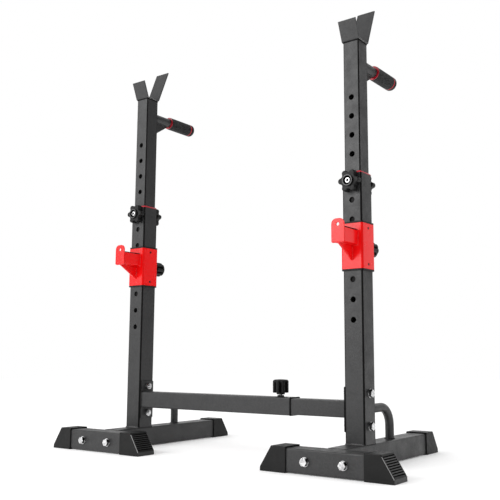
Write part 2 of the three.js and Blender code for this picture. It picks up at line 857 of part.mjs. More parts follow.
function addHandle(handle, side) {
  const along = [-quarterTurn, 0, 0];
  const gripStart = gripSetback + gripRingThickness + seam;
  const outerRing = gripStart + gripLength + seam;
  const capStart = outerRing + gripRingThickness + seam;
  const tube = handleTube(capStart + endCapSocket - 2 * seam);
  const gussetPlace = [0, seam, -handleDiameter / 2 - seam];
  const foam = sleeveRing(gripDiameter, gripLength, gripChamfer);
  const ring = () => sleeveRing(gripRingDiameter, gripRingThickness, gripChamfer);
  part(handle, `handle_tube_${side}`, tube, 'frame', [0, seam, 0], along);
  part(handle, `handle_gusset_${side}`, handleGusset(), 'frame', gussetPlace);
  part(handle, `grip_ring_inner_${side}`, ring(), 'redPlastic', [0, gripSetback, 0], along);
  part(handle, `foam_grip_${side}`, foam, 'foam', [0, gripStart, 0], along);
  part(handle, `grip_ring_outer_${side}`, ring(), 'redPlastic', [0, outerRing, 0], along);
  part(handle, `handle_end_cap_${side}`, handleEndCap(), 'plastic', [0, capStart, 0], along);
}

function addHook(stand, side) {
  const carrier = section(stand, [0, 0, hookHeight]);
  part(carrier, `bar_hook_${side}`, hook(), 'hook');
  part(carrier, `hook_liner_top_${side}`, hookLiner(), 'plastic', [0, 0, sleeveLength / 2]);
  const bottomPlace = [0, 0, -sleeveLength / 2];
  part(carrier, `hook_liner_bottom_${side}`, hookLiner(), 'plastic', bottomPlace, [2 * quarterTurn, 0, 0]);
  const padPlace = [0, -(sleeveWidth + hookGap) / 2, armTop + seam];
  part(carrier, `hook_pad_${side}`, hookPad(), 'plastic', padPlace);
  const knobPlace = [0, sleeveWidth / 2, 0];
  const studReach = (sleeveWidth - uprightWidth) / 2 - seam;
  part(carrier, `hook_knob_${side}`, flutedKnob(studReach), 'plastic', knobPlace, [-quarterTurn, 0, 0]);
}

function addStand(parent, side, inward) {
  const stand = section(parent, [-inward * standSpacing / 2, 0, 0]);
  addFeet(stand, side, inward);
  addUpright(stand, side, inward);
  addPost(stand, side);
  addHook(stand, side);
}

function addCrossbar(parent) {
  const start = crossOuterStart - standSpacing / 2;
  const crossbar = section(parent, [0, 0, crossbarHeight]);
  const outer = section(crossbar, [start, 0, 0], [0, quarterTurn, quarterTurn]);
  part(outer, 'crossbar_outer', crossbarOuter(), 'frame');
  part(outer, 'crossbar_collar', crossbarCollar(), 'plastic', [0, 0, crossOuterLength]);
  part(crossbar, 'crossbar_inner', crossbarInner(), 'frame', [-start, 0, 0], [0, -quarterTurn, -quarterTurn]);
  const studReach = (crossOuterWidth - crossInnerWidth) / 2 - seam;
  const knobX = start + crossOuterLength - crossKnobSetback;
  part(crossbar, 'crossbar_knob', flutedKnob(studReach), 'plastic', [knobX, 0, crossOuterWidth / 2]);
}

const squatStand = new THREE.Group();
squatStand.name = 'squat_stand';
const centred = section(squatStand, [0, -depthMiddle, 0]);
addStand(centred, 'left', 1);
addStand(centred, 'right', -1);
addCrossbar(centred);

export default squatStand;
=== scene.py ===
"""A squat stand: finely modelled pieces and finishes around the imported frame.

Shapes are built in millimetres in a part's own axes, then placed in metres in the frame's axes.
"""

import math

import bmesh
import bpy
from mathutils import Matrix, Vector


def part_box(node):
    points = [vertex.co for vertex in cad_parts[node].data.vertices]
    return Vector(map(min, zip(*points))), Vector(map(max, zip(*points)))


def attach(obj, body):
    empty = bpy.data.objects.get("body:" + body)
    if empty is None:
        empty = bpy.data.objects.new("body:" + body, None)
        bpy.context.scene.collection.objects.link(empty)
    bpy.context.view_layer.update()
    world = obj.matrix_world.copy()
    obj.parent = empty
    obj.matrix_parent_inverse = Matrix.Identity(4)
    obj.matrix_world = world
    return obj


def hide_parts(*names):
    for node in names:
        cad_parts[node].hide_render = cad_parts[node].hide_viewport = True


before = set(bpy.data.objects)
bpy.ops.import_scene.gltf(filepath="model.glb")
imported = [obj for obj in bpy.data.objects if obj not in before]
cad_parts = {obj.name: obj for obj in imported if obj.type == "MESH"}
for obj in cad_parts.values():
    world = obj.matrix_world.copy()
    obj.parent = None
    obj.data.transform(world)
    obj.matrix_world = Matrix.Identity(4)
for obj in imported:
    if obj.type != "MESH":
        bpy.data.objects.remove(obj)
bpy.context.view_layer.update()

MM = 0.001
QUARTER = math.pi / 2
SIDES = (("left", 1), ("right", -1))
FRONT_AND_REAR = (0, 2)
LEFT_AND_RIGHT = (1, 3)

# Clearances and smoothness; a hair keeps the skins inside one piece apart, and a face near a surface is on it
SEAM = 0.3
HAIR = 0.05
NEAR = 0.1
PLATE_EASE = 0.5
FLANGE_EASE = 0.6
EASE_STEPS = 3
SOFT_EDGE_STEPS = 4
CORNER_STEPS = 6
LARGE_CORNER_STEPS = 12
ROUND_STEPS = 48
HOLE_STEPS = 40
SHARP_ANGLE = 32

# Tubes
FOOT_WIDTH = 60
FOOT_WALL = 2
FOOT_CORNER = 4
UPRIGHT_WIDTH = 60
POST_WALL = 2
POST_CORNER = 3
TUBE_EASE = 0.4
PIN_HOLE = 16
PIN_PITCH = 55
UPRIGHT_PIN_DROP = 75.2
UPRIGHT_PIN_COUNT = 7
POST_PIN_DROP = 166.3
POST_PIN_COUNT = 10
BOLT_HOLE = 13

# Feet
FLANGE_WIDTH = 150
FLANGE_MARGIN = 2
FLANGE_THICKNESS = 5
FOOT_BOLT_SPREAD = 112
SOLE_THICKNESS = 2
CAP_WALL = 3.5
CAP_POCKET = 34.2
CAP_LENGTH = 80.6
CAP_TOP_LENGTH = 45.8
CAP_LIP = 12
CAP_LIP_SETBACK = 0.5
CAP_RIM = 5
CAP_EDGE = 2.2
CAP_EDGE_STEPS = 4
CAP_SOLE_EDGE = 1.2
CAP_SOLE_STEPS = 3
CAP_END_EDGE = 0.9
CAP_RIDGE_RADIUS = 3
CAP_MOUTH = 1.8
CAP_MOUTH_DEPTH = 4
CAP_MOUTH_FLOOR = 1.3
GROOVE_DEPTH = 4
GROOVE_WIDTH = 3.2
GROOVE_COUNT = 9
GROOVE_MARGIN = 4
GROOVE_DRAFT = 0.5

# Brace
BRACE_DIAMETER = 25
BRACE_BEND = 52
BRACE_STEPS = 18
BRACE_SIDES = 32

# Guide bushing
GUIDE_DEPTH = 16
GUIDE_RIM_BASE = 1.2
GUIDE_RIM_BEVEL = 3.8
GUIDE_RIM_INSET = 3.5

# Saddle
SADDLE_WIDTH = 57
SADDLE_THICKNESS = 4
SADDLE_OVERHANG = 1
SADDLE_FRONT = 56
SADDLE_REAR = 119
SADDLE_LEAN = math.radians(21)
SADDLE_BEND = 3
SADDLE_TIP = 0.6
SADDLE_HIGHLIGHT_HEIGHT = 4.6

# Handle
HANDLE_DIAMETER = 30
HANDLE_WALL = 2.5
HANDLE_GUSSET_REACH = 70.5
HANDLE_GUSSET_DROP = 50
HANDLE_GUSSET_NOSE = 3
GUSSET_THICKNESS = 5
GUSSET_CORNER = 0.8
GRIP_SETBACK = 79
RING_THICKNESS = 4.5
RING_DIAMETER = 42
RING_EASE = 0.9
GRIP_DIAMETER = 43
GRIP_LENGTH = 95.4
GRIP_EASE = 1.6
END_CAP_LENGTH = 14.5
END_CAP_RADIUS = 7
END_CAP_STEPS = 8
END_CAP_SOCKET = 10
END_CAP_EASE = 0.5

# Screws, nuts and bolts
STUD_DIAMETER = 10
STUD_PITCH = 1.5
THREAD_DEPTH = 0.5
THREAD_POINT = 0.8
THREAD_STEPS = 32
WELD_NUT_SIZE = 17
WELD_NUT_HEIGHT = 5
BOLT_DIAMETER = 12
BOLT_PITCH = 1.75
BOLT_HEAD_SIZE = 19
BOLT_HEAD_HEIGHT = 7.5
WASHER_DIAMETER = 24
WASHER_THICKNESS = 2.5
WASHER_EASE = 0.4
WASHER_FACE = -SEAM - WASHER_THICKNESS
NUT_HEIGHT = 10
BOLT_TIP = 4
HEX_CHAMFER = math.radians(30)
HEX_FACE = 0.96
HEX_BORE_EASE = 0.6

# Star knobs
STAR_DIAMETER = 65
STAR_LOBE = 0.681
STAR_VALLEY = 0.875
STAR_LOBES = 6
STAR_LOBE_STEPS = 8
STAR_THICKNESS = 18
STAR_STANDOFF = 2
STAR_EASE = 2.4
STAR_HUB = 32
STAR_HUB_HEIGHT = 6
STAR_RECESS = 23
STAR_RECESS_DEPTH = 7
STAR_BACK_RECESS = 27
STAR_BACK_DEPTH = 7
STAR_RIM = 3
STAR_HEAD_SIZE = 14
STAR_HEAD_HEIGHT = 4.5
STAR_SOCKET = 7
STAR_FACE = STAR_STANDOFF + STAR_THICKNESS
STAR_TOP = STAR_FACE + STAR_HUB_HEIGHT
STAR_FLOOR = STAR_TOP - STAR_RECESS_DEPTH
STAR_BACK_FLOOR = STAR_STANDOFF + STAR_BACK_DEPTH
HUB_EASE = 0.6
RECESS_EASE = 0.5

# Fluted knobs
FLUTE_DIAMETER = 48
FLUTE_LOBE = 1.12
FLUTE_VALLEY = 0.25
FLUTE_LOBES = 8
FLUTE_TURN = 10.7
FLUTE_BODY = 30
FLUTE_CROWN = 5.5
FLUTE_CROWN_INSET = 3
FLUTE_CROWN_STEPS = 8
FLUTE_DOME = 2.5
FLUTE_DOME_STEPS = 6
FLUTE_FOOT = 1.5
FLUTE_HUB = 24
FLUTE_HUB_HEIGHT = 5
FLUTE_STANDOFF = 2
FLUTE_SHADE = 2.2
FLUTE_HUB_START = WELD_NUT_HEIGHT + FLUTE_STANDOFF
FLUTE_START = FLUTE_HUB_START + FLUTE_HUB_HEIGHT
FLUTE_CROWN_START = FLUTE_START + FLUTE_BODY

# Hook
SLEEVE_WALL = 2
SLEEVE_CORNER = 5
LINER_RIM = 4.5
LINER_DEPTH = 22
LINER_PIN = 6.5
LINER_PIN_SETBACK = 13
LINER_PIN_PROUD = 0.5
LINER_PIN_PLAY = 0.6
LINER_PIN_STEPS = 24
ARM_WIDTH = 40
ARM_WALL = 3
ARM_CORNER = 3.5
ARM_TOP = 42
ARM_BOTTOM = ARM_TOP - ARM_WIDTH
HOOK_GAP = 69.8
PLATE_THICKNESS = 4
PLATE_HEIGHT = 63.5
PLATE_RADIUS = 15
PLATE_FOOT_RADIUS = 1.5
PLATE_HOLE = 9.5
PLATE_HOLE_SETBACK = 15.5
HOOK_GUSSET_DROP = 43
HOOK_GUSSET_NOSE = 2.5
HOOK_GUSSET_BITE = 0.2
PAD_THICKNESS = 1.5
PAD_CORNER = 2.5
PAD_EASE = 0.4

# Crossbar
CROSS_WIDTH = 50
CROSS_WALL = 1.5
CROSS_CORNER = 4
CROSS_PLAY = 1
CROSS_INNER_WALL = 2
CROSS_INNER_CORNER = 3
CROSS_FLANGE_WIDTH = 55
CROSS_FLANGE_THICKNESS = 4
CROSS_FLANGE_MARGIN = 17
CROSS_BOLT_SPREAD = 86
CROSS_FLANGE_HEIGHT = CROSS_BOLT_SPREAD + 2 * CROSS_FLANGE_MARGIN
COLLAR_RIM = 3
COLLAR_PROUD = 1
COLLAR_DEPTH = 25
COLLAR_PLAY = 0.3

# Welds
WELD_SIZE = 2.6
SMALL_WELD = 2.0
NUT_WELD = 1.3
FOOT_WELD = 3.0
WELD_RIPPLE = 3.6
WELD_WAVE = 0.16
WELD_STEP = 0.9
WELD_SIDES = 8
WELD_START = 0.35
WELD_TAPER = 0.3
WELD_RING_STEPS = 36
WELD_RING_EXTRA = 1
# Where the bright strip that paints a glint sits on the upright's front weld
WELD_GLINT_PLACE = 4
WELD_GLINT_LENGTH = 36
WELD_GLINT_HEIGHT = 1.6
HANDLE_BEAD_START = 4
HANDLE_BEAD_END = 3
HANDLE_BEAD_DROP = 0.4
HOOK_BEAD_START = 3
HOOK_BEAD_END = 4
BEAD_TIP = 2

# Studio: each flag has a bearing in degrees, cosines where its edge starts and ends, and what it lets through
SOFTBOX_PLACE = (-1.4, -2.9, 1.85)
SOFTBOX_TARGET = (0, 0, 0.75)
SOFTBOX_SIZE = (2.6, 2.2)
SOFTBOX_POWER = 62
FLAGS = ((-25, 0.0, 0.30, 0.0), (180, 0.64, 0.86, 0.25))
FLOOR_SIZE = 14000
FLOOR_CORNER = 2000
FLOOR_DEPTHS = (-8, -0.2)
FLOOR_LIFT = 0.065
CAMERA_PLACE = (1.42563, -1.88331, 0.29547)
CAMERA_YAW = 35.3164
CAMERA_PITCH = 8.2202
CAMERA_LENS = 53.283
CAMERA_SHIFT = (-0.0692, -0.0028)
CAMERA_SENSOR = 36
CAMERA_RANGE = 60


# Places read from the frame, in millimetres

def box_of(node):
    low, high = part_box(node)
    return low / MM, high / MM


def middle(node):
    low, high = box_of(node)
    return (low + high) / 2


def shift(x=0.0, y=0.0, z=0.0):
    return Matrix.Translation((x, y, z))


def turn(degrees, axis):
    return Matrix.Rotation(math.radians(degrees), 4, axis)


def on_edge():
    """Stands a flat outline up: its X runs back and its Y up, and its thickness runs along X."""
    return turn(90, "Z") @ turn(90, "X")


# Outlines: lists of points around a closed line, counterclockwise

def polar(radius, angle):
    return radius * math.cos(angle), radius * math.sin(angle)


def arc(x, y, radius, start, end, steps):
    spokes = [polar(radius, start + (end - start) * i / steps) for i in range(steps + 1)]
    return [(x + across, y + up) for across, up in spokes]


def rounded(width, height, radius, steps=CORNER_STEPS):
    x, y = width / 2 - radius, height / 2 - radius
    corners = ((x, y), (-x, y), (-x, -y), (x, -y))
    return [p for i, (cx, cy) in enumerate(corners)
            for p in arc(cx, cy, radius, i * QUARTER, (i + 1) * QUARTER, steps)]


def circle(diameter, steps=ROUND_STEPS):
    return arc(0, 0, diameter / 2, 0, 2 * math.pi, steps)[:-1]


def rounding(radius, steps):
    """Steps round an edge from one face to the next, each as (short of the next, away from the first)."""
    turns = [QUARTER * i / steps for i in range(steps + 1)]
    return [(radius * (1 - math.sin(a)), radius * (1 - math.cos(a))) for a in turns]


def filleted(points, radii, steps=CORNER_STEPS):
    """The polygon with each corner rounded by its own radius."""
    result = []
    for i, (corner, radius) in enumerate(zip(points, radii)):
        here = Vector(corner)
        back = (Vector(points[i - 1]) - here).normalized()
        ahead = (Vector(points[(i + 1) % len(points)]) - here).normalized()
        half = back.angle(ahead) / 2
        reach = radius / math.tan(half)
        centre = here + (back + ahead).normalized() * radius / math.sin(half)
        first, last = here + back * reach - centre, here + ahead * reach - centre
        opening = first.angle_signed(last)
        for step in range(steps + 1):
            part = Matrix.Rotation(-opening * step / steps, 2)
            result.append(tuple(centre + part @ first))
    return result


def inset(points, distance):
    """The outline moved inwards by a distance, corner by corner."""
    result = []
    for i, point in enumerate(points):
        before = Vector(point) - Vector(points[i - 1])
        after = Vector(points[(i + 1) % len(points)]) - Vector(point)
        a = Vector((-before.y, before.x)).normalized()
        b = Vector((-after.y, after.x)).normalized()
        result.append(tuple(Vector(point) + (a + b) * distance / (1 + a.dot(b))))
    return result


def lobed(diameter, lobe_share, valley_share, count, steps=6):
    """Round lobes joined by round valleys, all tangent to one another."""
    step = math.pi / count
    span = lobe_share * math.sin(step)
    lobe_centre = diameter / 2 / (1 + span)
    lobe = lobe_centre * span
    valley = lobe * valley_share
    side = lobe_centre * math.sin(step)
    valley_centre = lobe_centre * math.cos(step) + math.sqrt((lobe + valley) ** 2 - side ** 2)
    lean = math.atan2(valley_centre * math.sin(step), valley_centre * math.cos(step) - lobe_centre)
    result = []
    for i in range(count):
        at, between, after = (step * (2 * i + part) for part in range(3))
        result += arc(*polar(lobe_centre, at), lobe, at - lean, at + lean, steps)[:-1]
        start, end = at + lean + math.pi, after - lean + math.pi
        result += arc(*polar(valley_centre, between), valley, start, end, steps)[:-1]
    return result


# Shells: closed skins made of loops

def level(outline, height):
    return [(x, y, height) for x, y in outline]


def circles(profile, steps=ROUND_STEPS):
    """Circles around Z for a profile of (radius, height), where radius 0 is a single point."""
    return [level(circle(2 * radius, steps), height) if radius else [(0, 0, height)]
            for radius, height in profile]


def around(loop):
    """Each member of a closed loop with the next one."""
    return zip(loop, loop[1:] + loop[:1])


def bridge(shell, low, high, skipped=()):
    """Faces between two loops of equal length, or between a loop and a single point."""
    if len(low) == 1 or len(high) == 1:
        pole, ring = (low[0], high) if len(low) == 1 else (high[0], low)
        for a, b in around(ring):
            shell.faces.new((pole, a, b))
        return
    for i, ((a, b), (c, d)) in enumerate(zip(around(low), around(high))):
        if i not in skipped:
            shell.faces.new((a, b, d, c))


def fill(shell, *loops):
    """A flat face inside the first loop and outside the others."""
    if len(loops) == 1:
        shell.faces.new(loops[0])
        return
    edges = [shell.edges.get(pair) or shell.edges.new(pair) for loop in loops for pair in around(loop)]
    bmesh.ops.triangle_fill(shell, edges=edges, use_beauty=True)


def add_loops(shell, rows):
    return [[shell.verts.new(point) for point in row] for row in rows]


def chain(shell, rows):
    """Adds loops and joins each to the next."""
    loops = add_loops(shell, rows)
    for low, high in zip(loops, loops[1:]):
        bridge(shell, low, high)
    return loops


def skin(shell, rows, closed=False):
    """A chain of loops: a closed one is a ring, an open one is capped at both ends."""
    loops = chain(shell, rows)
    if closed:
        bridge(shell, loops[-1], loops[0])
    else:
        fill(shell, loops[0])
        fill(shell, loops[-1])
    return shell


def lathe(shell, profile, steps=ROUND_STEPS, closed=False):
    """Turns a profile of (radius, height) around Z. It is a ring, or starts and ends on the axis."""
    rings = chain(shell, circles(profile, steps))
    if closed:
        bridge(shell, rings[-1], rings[0])
    return shell


def square_ring(rows):
    """A ring of square loops given as (width, corner radius, height)."""
    loops = [level(rounded(width, width, corner), height) for width, corner, height in rows]
    return skin(bmesh.new(), loops, closed=True)


def eased(outline, low, high, radius, steps=EASE_STEPS):
    """Loops of an upright wall from low to high with rounded edges at both ends."""
    edge = rounding(radius, steps)
    rows = [level(inset(outline, back), low + up) for back, up in edge]
    return rows + [level(inset(outline, back), high - up) for back, up in reversed(edge)]


def plate(shell, outline, depth, ease=PLATE_EASE, holes=()):
    """A plate on Z = 0 with eased edges and round holes given as (x, y, diameter)."""
    loops = chain(shell, eased(outline, 0, depth, ease))
    bottoms, tops = [loops[0]], [loops[-1]]
    for x, y, diameter in holes:
        heights = ((0, ease), (ease, 0), (depth - ease, 0), (depth, ease))
        bore = chain(shell, [[(x + px, y + py, z) for px, py in circle(diameter + 2 * wider)]
                             for z, wider in heights])
        bottoms.append(bore[0])
        tops.append(bore[-1])
    fill(shell, *bottoms)
    fill(shell, *tops)
    return shell


def split(shell, height):
    """Cuts faces in two where they cross a height, so that each part can have its own finish."""
    everything = shell.verts[:] + shell.edges[:] + shell.faces[:]
    bmesh.ops.bisect_plane(shell, geom=everything, plane_co=(0, 0, height), plane_no=(0, 0, 1))


def merge(target, source, place):
    """Moves one shell into another, placed."""
    source.transform(place)
    mesh = bpy.data.meshes.new("part")
    source.to_mesh(mesh)
    source.free()
    target.from_mesh(mesh)
    bpy.data.meshes.remove(mesh)


def square_tube(width, wall, corner, length, holes=()):
    """A tube along Z with holes given as (side, height, diameter); sides 0 to 3 face +Y, -X, -Y and +X."""
    shell = bmesh.new()
    outer = rounded(width, width, corner)
    inner = rounded(width - 2 * wall, width - 2 * wall, max(corner - wall, wall / 2))
    loops = add_loops(shell, [level(inset(outer, TUBE_EASE), 0), level(outer, TUBE_EASE),
                              level(outer, length - TUBE_EASE), level(inset(outer, TUBE_EASE), length),
                              level(inner, length), level(inner, 0)])
    outer_wall, inner_wall = 1, 4
    drilled = sorted({side for side, _, _ in holes})
    flats = {side: side * (CORNER_STEPS + 1) + CORNER_STEPS for side in drilled}
    for k, (low, high) in enumerate(around(loops)):
        bridge(shell, low, high, flats.values() if k in (outer_wall, inner_wall) else ())
    for side, i in flats.items():
        j = (i + 1) % len(outer)
        facing = Matrix.Rotation(QUARTER * side, 3, "Z")
        outsides = [[loops[1][i], loops[1][j], loops[2][j], loops[2][i]]]
        insides = [[loops[5][i], loops[5][j], loops[4][j], loops[4][i]]]
        for _, along, diameter in [hole for hole in holes if hole[0] == side]:
            bore = chain(shell, [[facing @ Vector((x, width / 2 - depth, along + z))
                                  for x, z in circle(diameter + 2 * wider, HOLE_STEPS)]
                                 for depth, wider in ((0, TUBE_EASE), (TUBE_EASE, 0), (wall, 0))])
            outsides.append(bore[0])
            insides.append(bore[-1])
        fill(shell, *outsides)
        fill(shell, *insides)
    return shell


def hexagon(shell, flats, low, high, bore=0.0, chamfers=(True, True)):
    """A hexagonal nut or head between two heights, its corners cut back by 30 degrees."""
    rest = flats / 2 * HEX_FACE
    angles = [2 * math.pi * i / ROUND_STEPS for i in range(ROUND_STEPS)]
    reach = [flats / 2 / math.cos(a % (math.pi / 3) - math.pi / 6) for a in angles]
    wall = [(*polar(r, a), (r - rest) * math.tan(HEX_CHAMFER)) for r, a in zip(reach, angles)]
    face = circle(2 * rest)
    rows = [level(face, low)] if chamfers[0] else []
    rows.append([(x, y, low + chamfers[0] * cut) for x, y, cut in wall])
    rows.append([(x, y, high - chamfers[1] * cut) for x, y, cut in wall])
    rows += [level(face, high)] if chamfers[1] else []
    if bore:
        ease = min(HEX_BORE_EASE, (high - low) / 4)
        widths = ((high, ease), (high - ease, 0), (low + ease, 0), (low, ease))
        rows += [level(circle(bore + 2 * wider), height) for height, wider in widths]
    return skin(shell, rows, closed=bool(bore))


def thread(shell, diameter, pitch, low, high):
    """A threaded rod between two heights, with a chamfered point at the high end."""
    radius = diameter / 2
    profile = [(0, low), (radius, low)]
    height = low + pitch / 2
    while height < high - pitch:
        profile += [(radius, height), (radius - THREAD_DEPTH * pitch, height + pitch / 2)]
        height += pitch
    profile += [(radius, height), (radius, high - THREAD_POINT), (radius - THREAD_POINT, high), (0, high)]
    return lathe(shell, profile, THREAD_STEPS)


def sweep(shell, path, radii, sides, closed=False):
    """A round bar along a path of points, with its own radius at each point."""
    points = [Vector(p) for p in path]
    before, after = (points[-1:], points[:1]) if closed else (points[:1], points[-1:])
    tangents = [(a - b).normalized() for a, b in zip(points[1:] + after, before + points[:-1])]
    side = tangents[0].orthogonal().normalized()
    spokes = [2 * math.pi * i / sides for i in range(sides)]
    rows = []
    for point, tangent, radius in zip(points, tangents, radii):
        side = (side - tangent * side.dot(tangent)).normalized()
        up = tangent.cross(side)
        rows.append([point + (side * math.cos(a) + up * math.sin(a)) * radius for a in spokes])
    return skin(shell, rows, closed)


def weld(shell, corners, size=WELD_SIZE, closed=True):
    """A rippled bead that follows a line of corners, and is thinner at its ends."""
    points = [Vector(c) for c in corners]
    path = []
    for a, b in around(points) if closed else zip(points, points[1:]):
        steps = max(1, round((b - a).length / WELD_STEP))
        path += [a.lerp(b, i / steps) for i in range(steps)]
    if not closed:
        path.append(points[-1])
    radii = []
    run = 0.0
    for i, point in enumerate(path):
        run += (point - path[i - 1]).length if i else 0
        wave = abs(math.sin(math.pi * run / WELD_RIPPLE))
        end = 1.0 if closed else min(1.0, WELD_START + WELD_TAPER * min(i, len(path) - 1 - i))
        radii.append(size * end * (1 - WELD_WAVE + WELD_WAVE * wave))
    return sweep(shell, path, radii, WELD_SIDES, closed)


# Finishes

def node_of(tree, kind, **settings):
    """A new node. A setting is a property, or a socket's value, or another node's output for that socket."""
    node = tree.nodes.new("ShaderNode" + kind)
    for key, value in settings.items():
        if key not in node.inputs:
            setattr(node, key, value)
        elif isinstance(value, bpy.types.NodeSocket):
            tree.links.new(value, node.inputs[key])
        else:
            node.inputs[key].default_value = value
    return node


def link_in_order(tree, node, *sources):
    for source, socket in zip(sources, node.inputs):
        tree.links.new(source, socket)
    return node


def grain(tree, scale, detail=2.0, roughness=0.5, stretch=None):
    """Noise in the piece's own axes, as many cells to the metre as the scale says."""
    place = node_of(tree, "TexCoord").outputs["Object"]
    if stretch:
        place = node_of(tree, "Mapping", Vector=place, Scale=stretch).outputs["Vector"]
    noise = node_of(tree, "TexNoise", Vector=place, Scale=scale, Detail=detail, Roughness=roughness)
    return noise.outputs["Fac"]


def spread(tree, source, low, high, start=0.3, end=0.7):
    """Maps what lies between start and end to between low and high."""
    limits = {"From Min": start, "From Max": end, "To Min": low, "To Max": high}
    return node_of(tree, "MapRange", Value=source, **limits).outputs["Result"]


def blend(tree, factor, low, high):
    """A colour between two, each a triple or another node's output."""
    mix = node_of(tree, "Mix", data_type="RGBA")
    colours = [s for s in mix.inputs if s.type == "RGBA"]
    for socket, value in zip(colours, (low, high)):
        if isinstance(value, tuple):
            socket.default_value = (*value, 1)
        else:
            tree.links.new(value, socket)
    tree.links.new(factor, mix.inputs["Factor"])
    return next(s for s in mix.outputs if s.type == "RGBA")


def edge_mask(tree, radius):
    """Near one on edges, where the rounded normal leaves the real one."""
    rounded_normal = node_of(tree, "Bevel", samples=4, Radius=radius)
    geometry = node_of(tree, "NewGeometry")
    dot = node_of(tree, "VectorMath", operation="DOT_PRODUCT")
    link_in_order(tree, dot, rounded_normal.outputs["Normal"], geometry.outputs["Normal"])
    return spread(tree, dot.outputs["Value"], 1.0, 0.0, 0.80, 0.99)


def bumps(tree, *layers):
    """Layers of height given as (source, distance), finest last."""
    normal = None
    for source, distance in layers:
        below = {"Normal": normal} if normal else {}
        bump = node_of(tree, "Bump", Strength=1.0, Distance=distance, Height=source, **below)
        normal = bump.outputs["Normal"]
    return normal


def finish(name, metallic=0.0, specular=0.5, **extra):
    material = bpy.data.materials.new(name)
    material.use_nodes = True
    shader = material.node_tree.nodes["Principled BSDF"]
    shader.inputs["Metallic"].default_value = metallic
    shader.inputs["Specular IOR Level"].default_value = specular
    for key, value in extra.items():
        shader.inputs[key.replace("_", " ")].default_value = value
    return material, material.node_tree, shader


def connect(tree, shader, colour, roughness, normal):
    tree.links.new(colour, shader.inputs["Base Color"])
    tree.links.new(roughness, shader.inputs["Roughness"])
    tree.links.new(normal, shader.inputs["Normal"])


def powder_coat(name, deep, pale, speck_and_edge_shade, roughness, specular, texture=1.0):
    """Baked powder paint: a mottled orange-peel skin with fine specks, and painted shade along the edges."""
    material, tree, shader = finish(name, specular=specular)
    clouds = grain(tree, 9, 3)
    mottle = grain(tree, 200, 4, 0.65)
    specks = grain(tree, 1400, 2, 0.6)
    edges = edge_mask(tree, 1.8 * MM)
    shaded = blend(tree, spread(tree, clouds, 0.3, 0.7), deep, pale)
    body = blend(tree, spread(tree, mottle, 0, texture), shaded, pale)
    speckled = blend(tree, spread(tree, specks, 0.0, 0.4 * texture, 0.45, 0.75), body, speck_and_edge_shade)
    # Edges run towards the speck colour: painted shade along every corner and rim of the coat
    colour = blend(tree, spread(tree, edges, 0.0, 0.8, 0.0, 1.0), speckled, speck_and_edge_shade)
    rubbed = spread(tree, grain(tree, 35, 4), roughness - 0.08 * texture, roughness + 0.10 * texture)
    skin_bump = bumps(tree, (mottle, 0.55 * texture * MM), (specks, 0.08 * texture * MM))
    connect(tree, shader, colour, rubbed, skin_bump)
    return material


def moulded(name, deep, pale, roughness, specular):
    """Injection-moulded plastic with a fine spark-eroded texture, a faint flow pattern and a painted
    highlight along its edges.
    """
    material, tree, shader = finish(name, specular=specular)
    flow = grain(tree, 22, 3)
    pits = grain(tree, 2600, 1)
    edges = edge_mask(tree, 0.9 * MM)
    body = blend(tree, spread(tree, flow, 0, 1), deep, pale)
    # Edges are painted lighter than the body: a painted highlight
    edge_highlight = tuple(1.8 * c + 0.01 for c in pale)
    colour = blend(tree, spread(tree, edges, 0.0, 0.35, 0.0, 1.0), body, edge_highlight)
    rubbed = spread(tree, grain(tree, 120, 2), roughness - 0.06, roughness + 0.08)
    connect(tree, shader, colour, rubbed, bumps(tree, (flow, 0.12 * MM), (pits, 0.05 * MM)))
    return material


def foam_rubber(name, deep, pale):
    """Closed-cell foam: a soft skin full of small open cells."""
    material, tree, shader = finish(name, specular=0.16, Sheen_Weight=0.06, Sheen_Roughness=0.6)
    place = node_of(tree, "TexCoord").outputs["Object"]
    cells = node_of(tree, "TexVoronoi", Vector=place, Scale=900.0, feature="SMOOTH_F1")
    dents = grain(tree, 360, 3)
    holes = spread(tree, cells.outputs["Distance"], 0, 1, 0.1, 0.65)
    colour = blend(tree, holes, deep, pale)
    patched = blend(tree, spread(tree, dents, 0, 1, 0.4, 0.6), colour, deep)
    skin_bump = bumps(tree, (dents, 0.6 * MM), (holes, 0.22 * MM))
    connect(tree, shader, patched, spread(tree, dents, 0.72, 0.98), skin_bump)
    return material


def plated_zinc(name, deep, pale):
    """Bright zinc plate on a forged fastener, with fine handling marks."""
    material, tree, shader = finish(name, metallic=1.0)
    clouds = grain(tree, 180, 4)
    marks = grain(tree, 900, 3, 0.7, (1, 1, 6))
    colour = blend(tree, spread(tree, clouds, 0, 1), deep, pale)
    marked = blend(tree, spread(tree, marks, 0.0, 0.5, 0.55, 0.8), colour, deep)
    skin_bump = bumps(tree, (clouds, 0.12 * MM), (marks, 0.03 * MM))
    connect(tree, shader, marked, spread(tree, marks, 0.14, 0.34), skin_bump)
    return material


def grey(value):
    return value, value, value
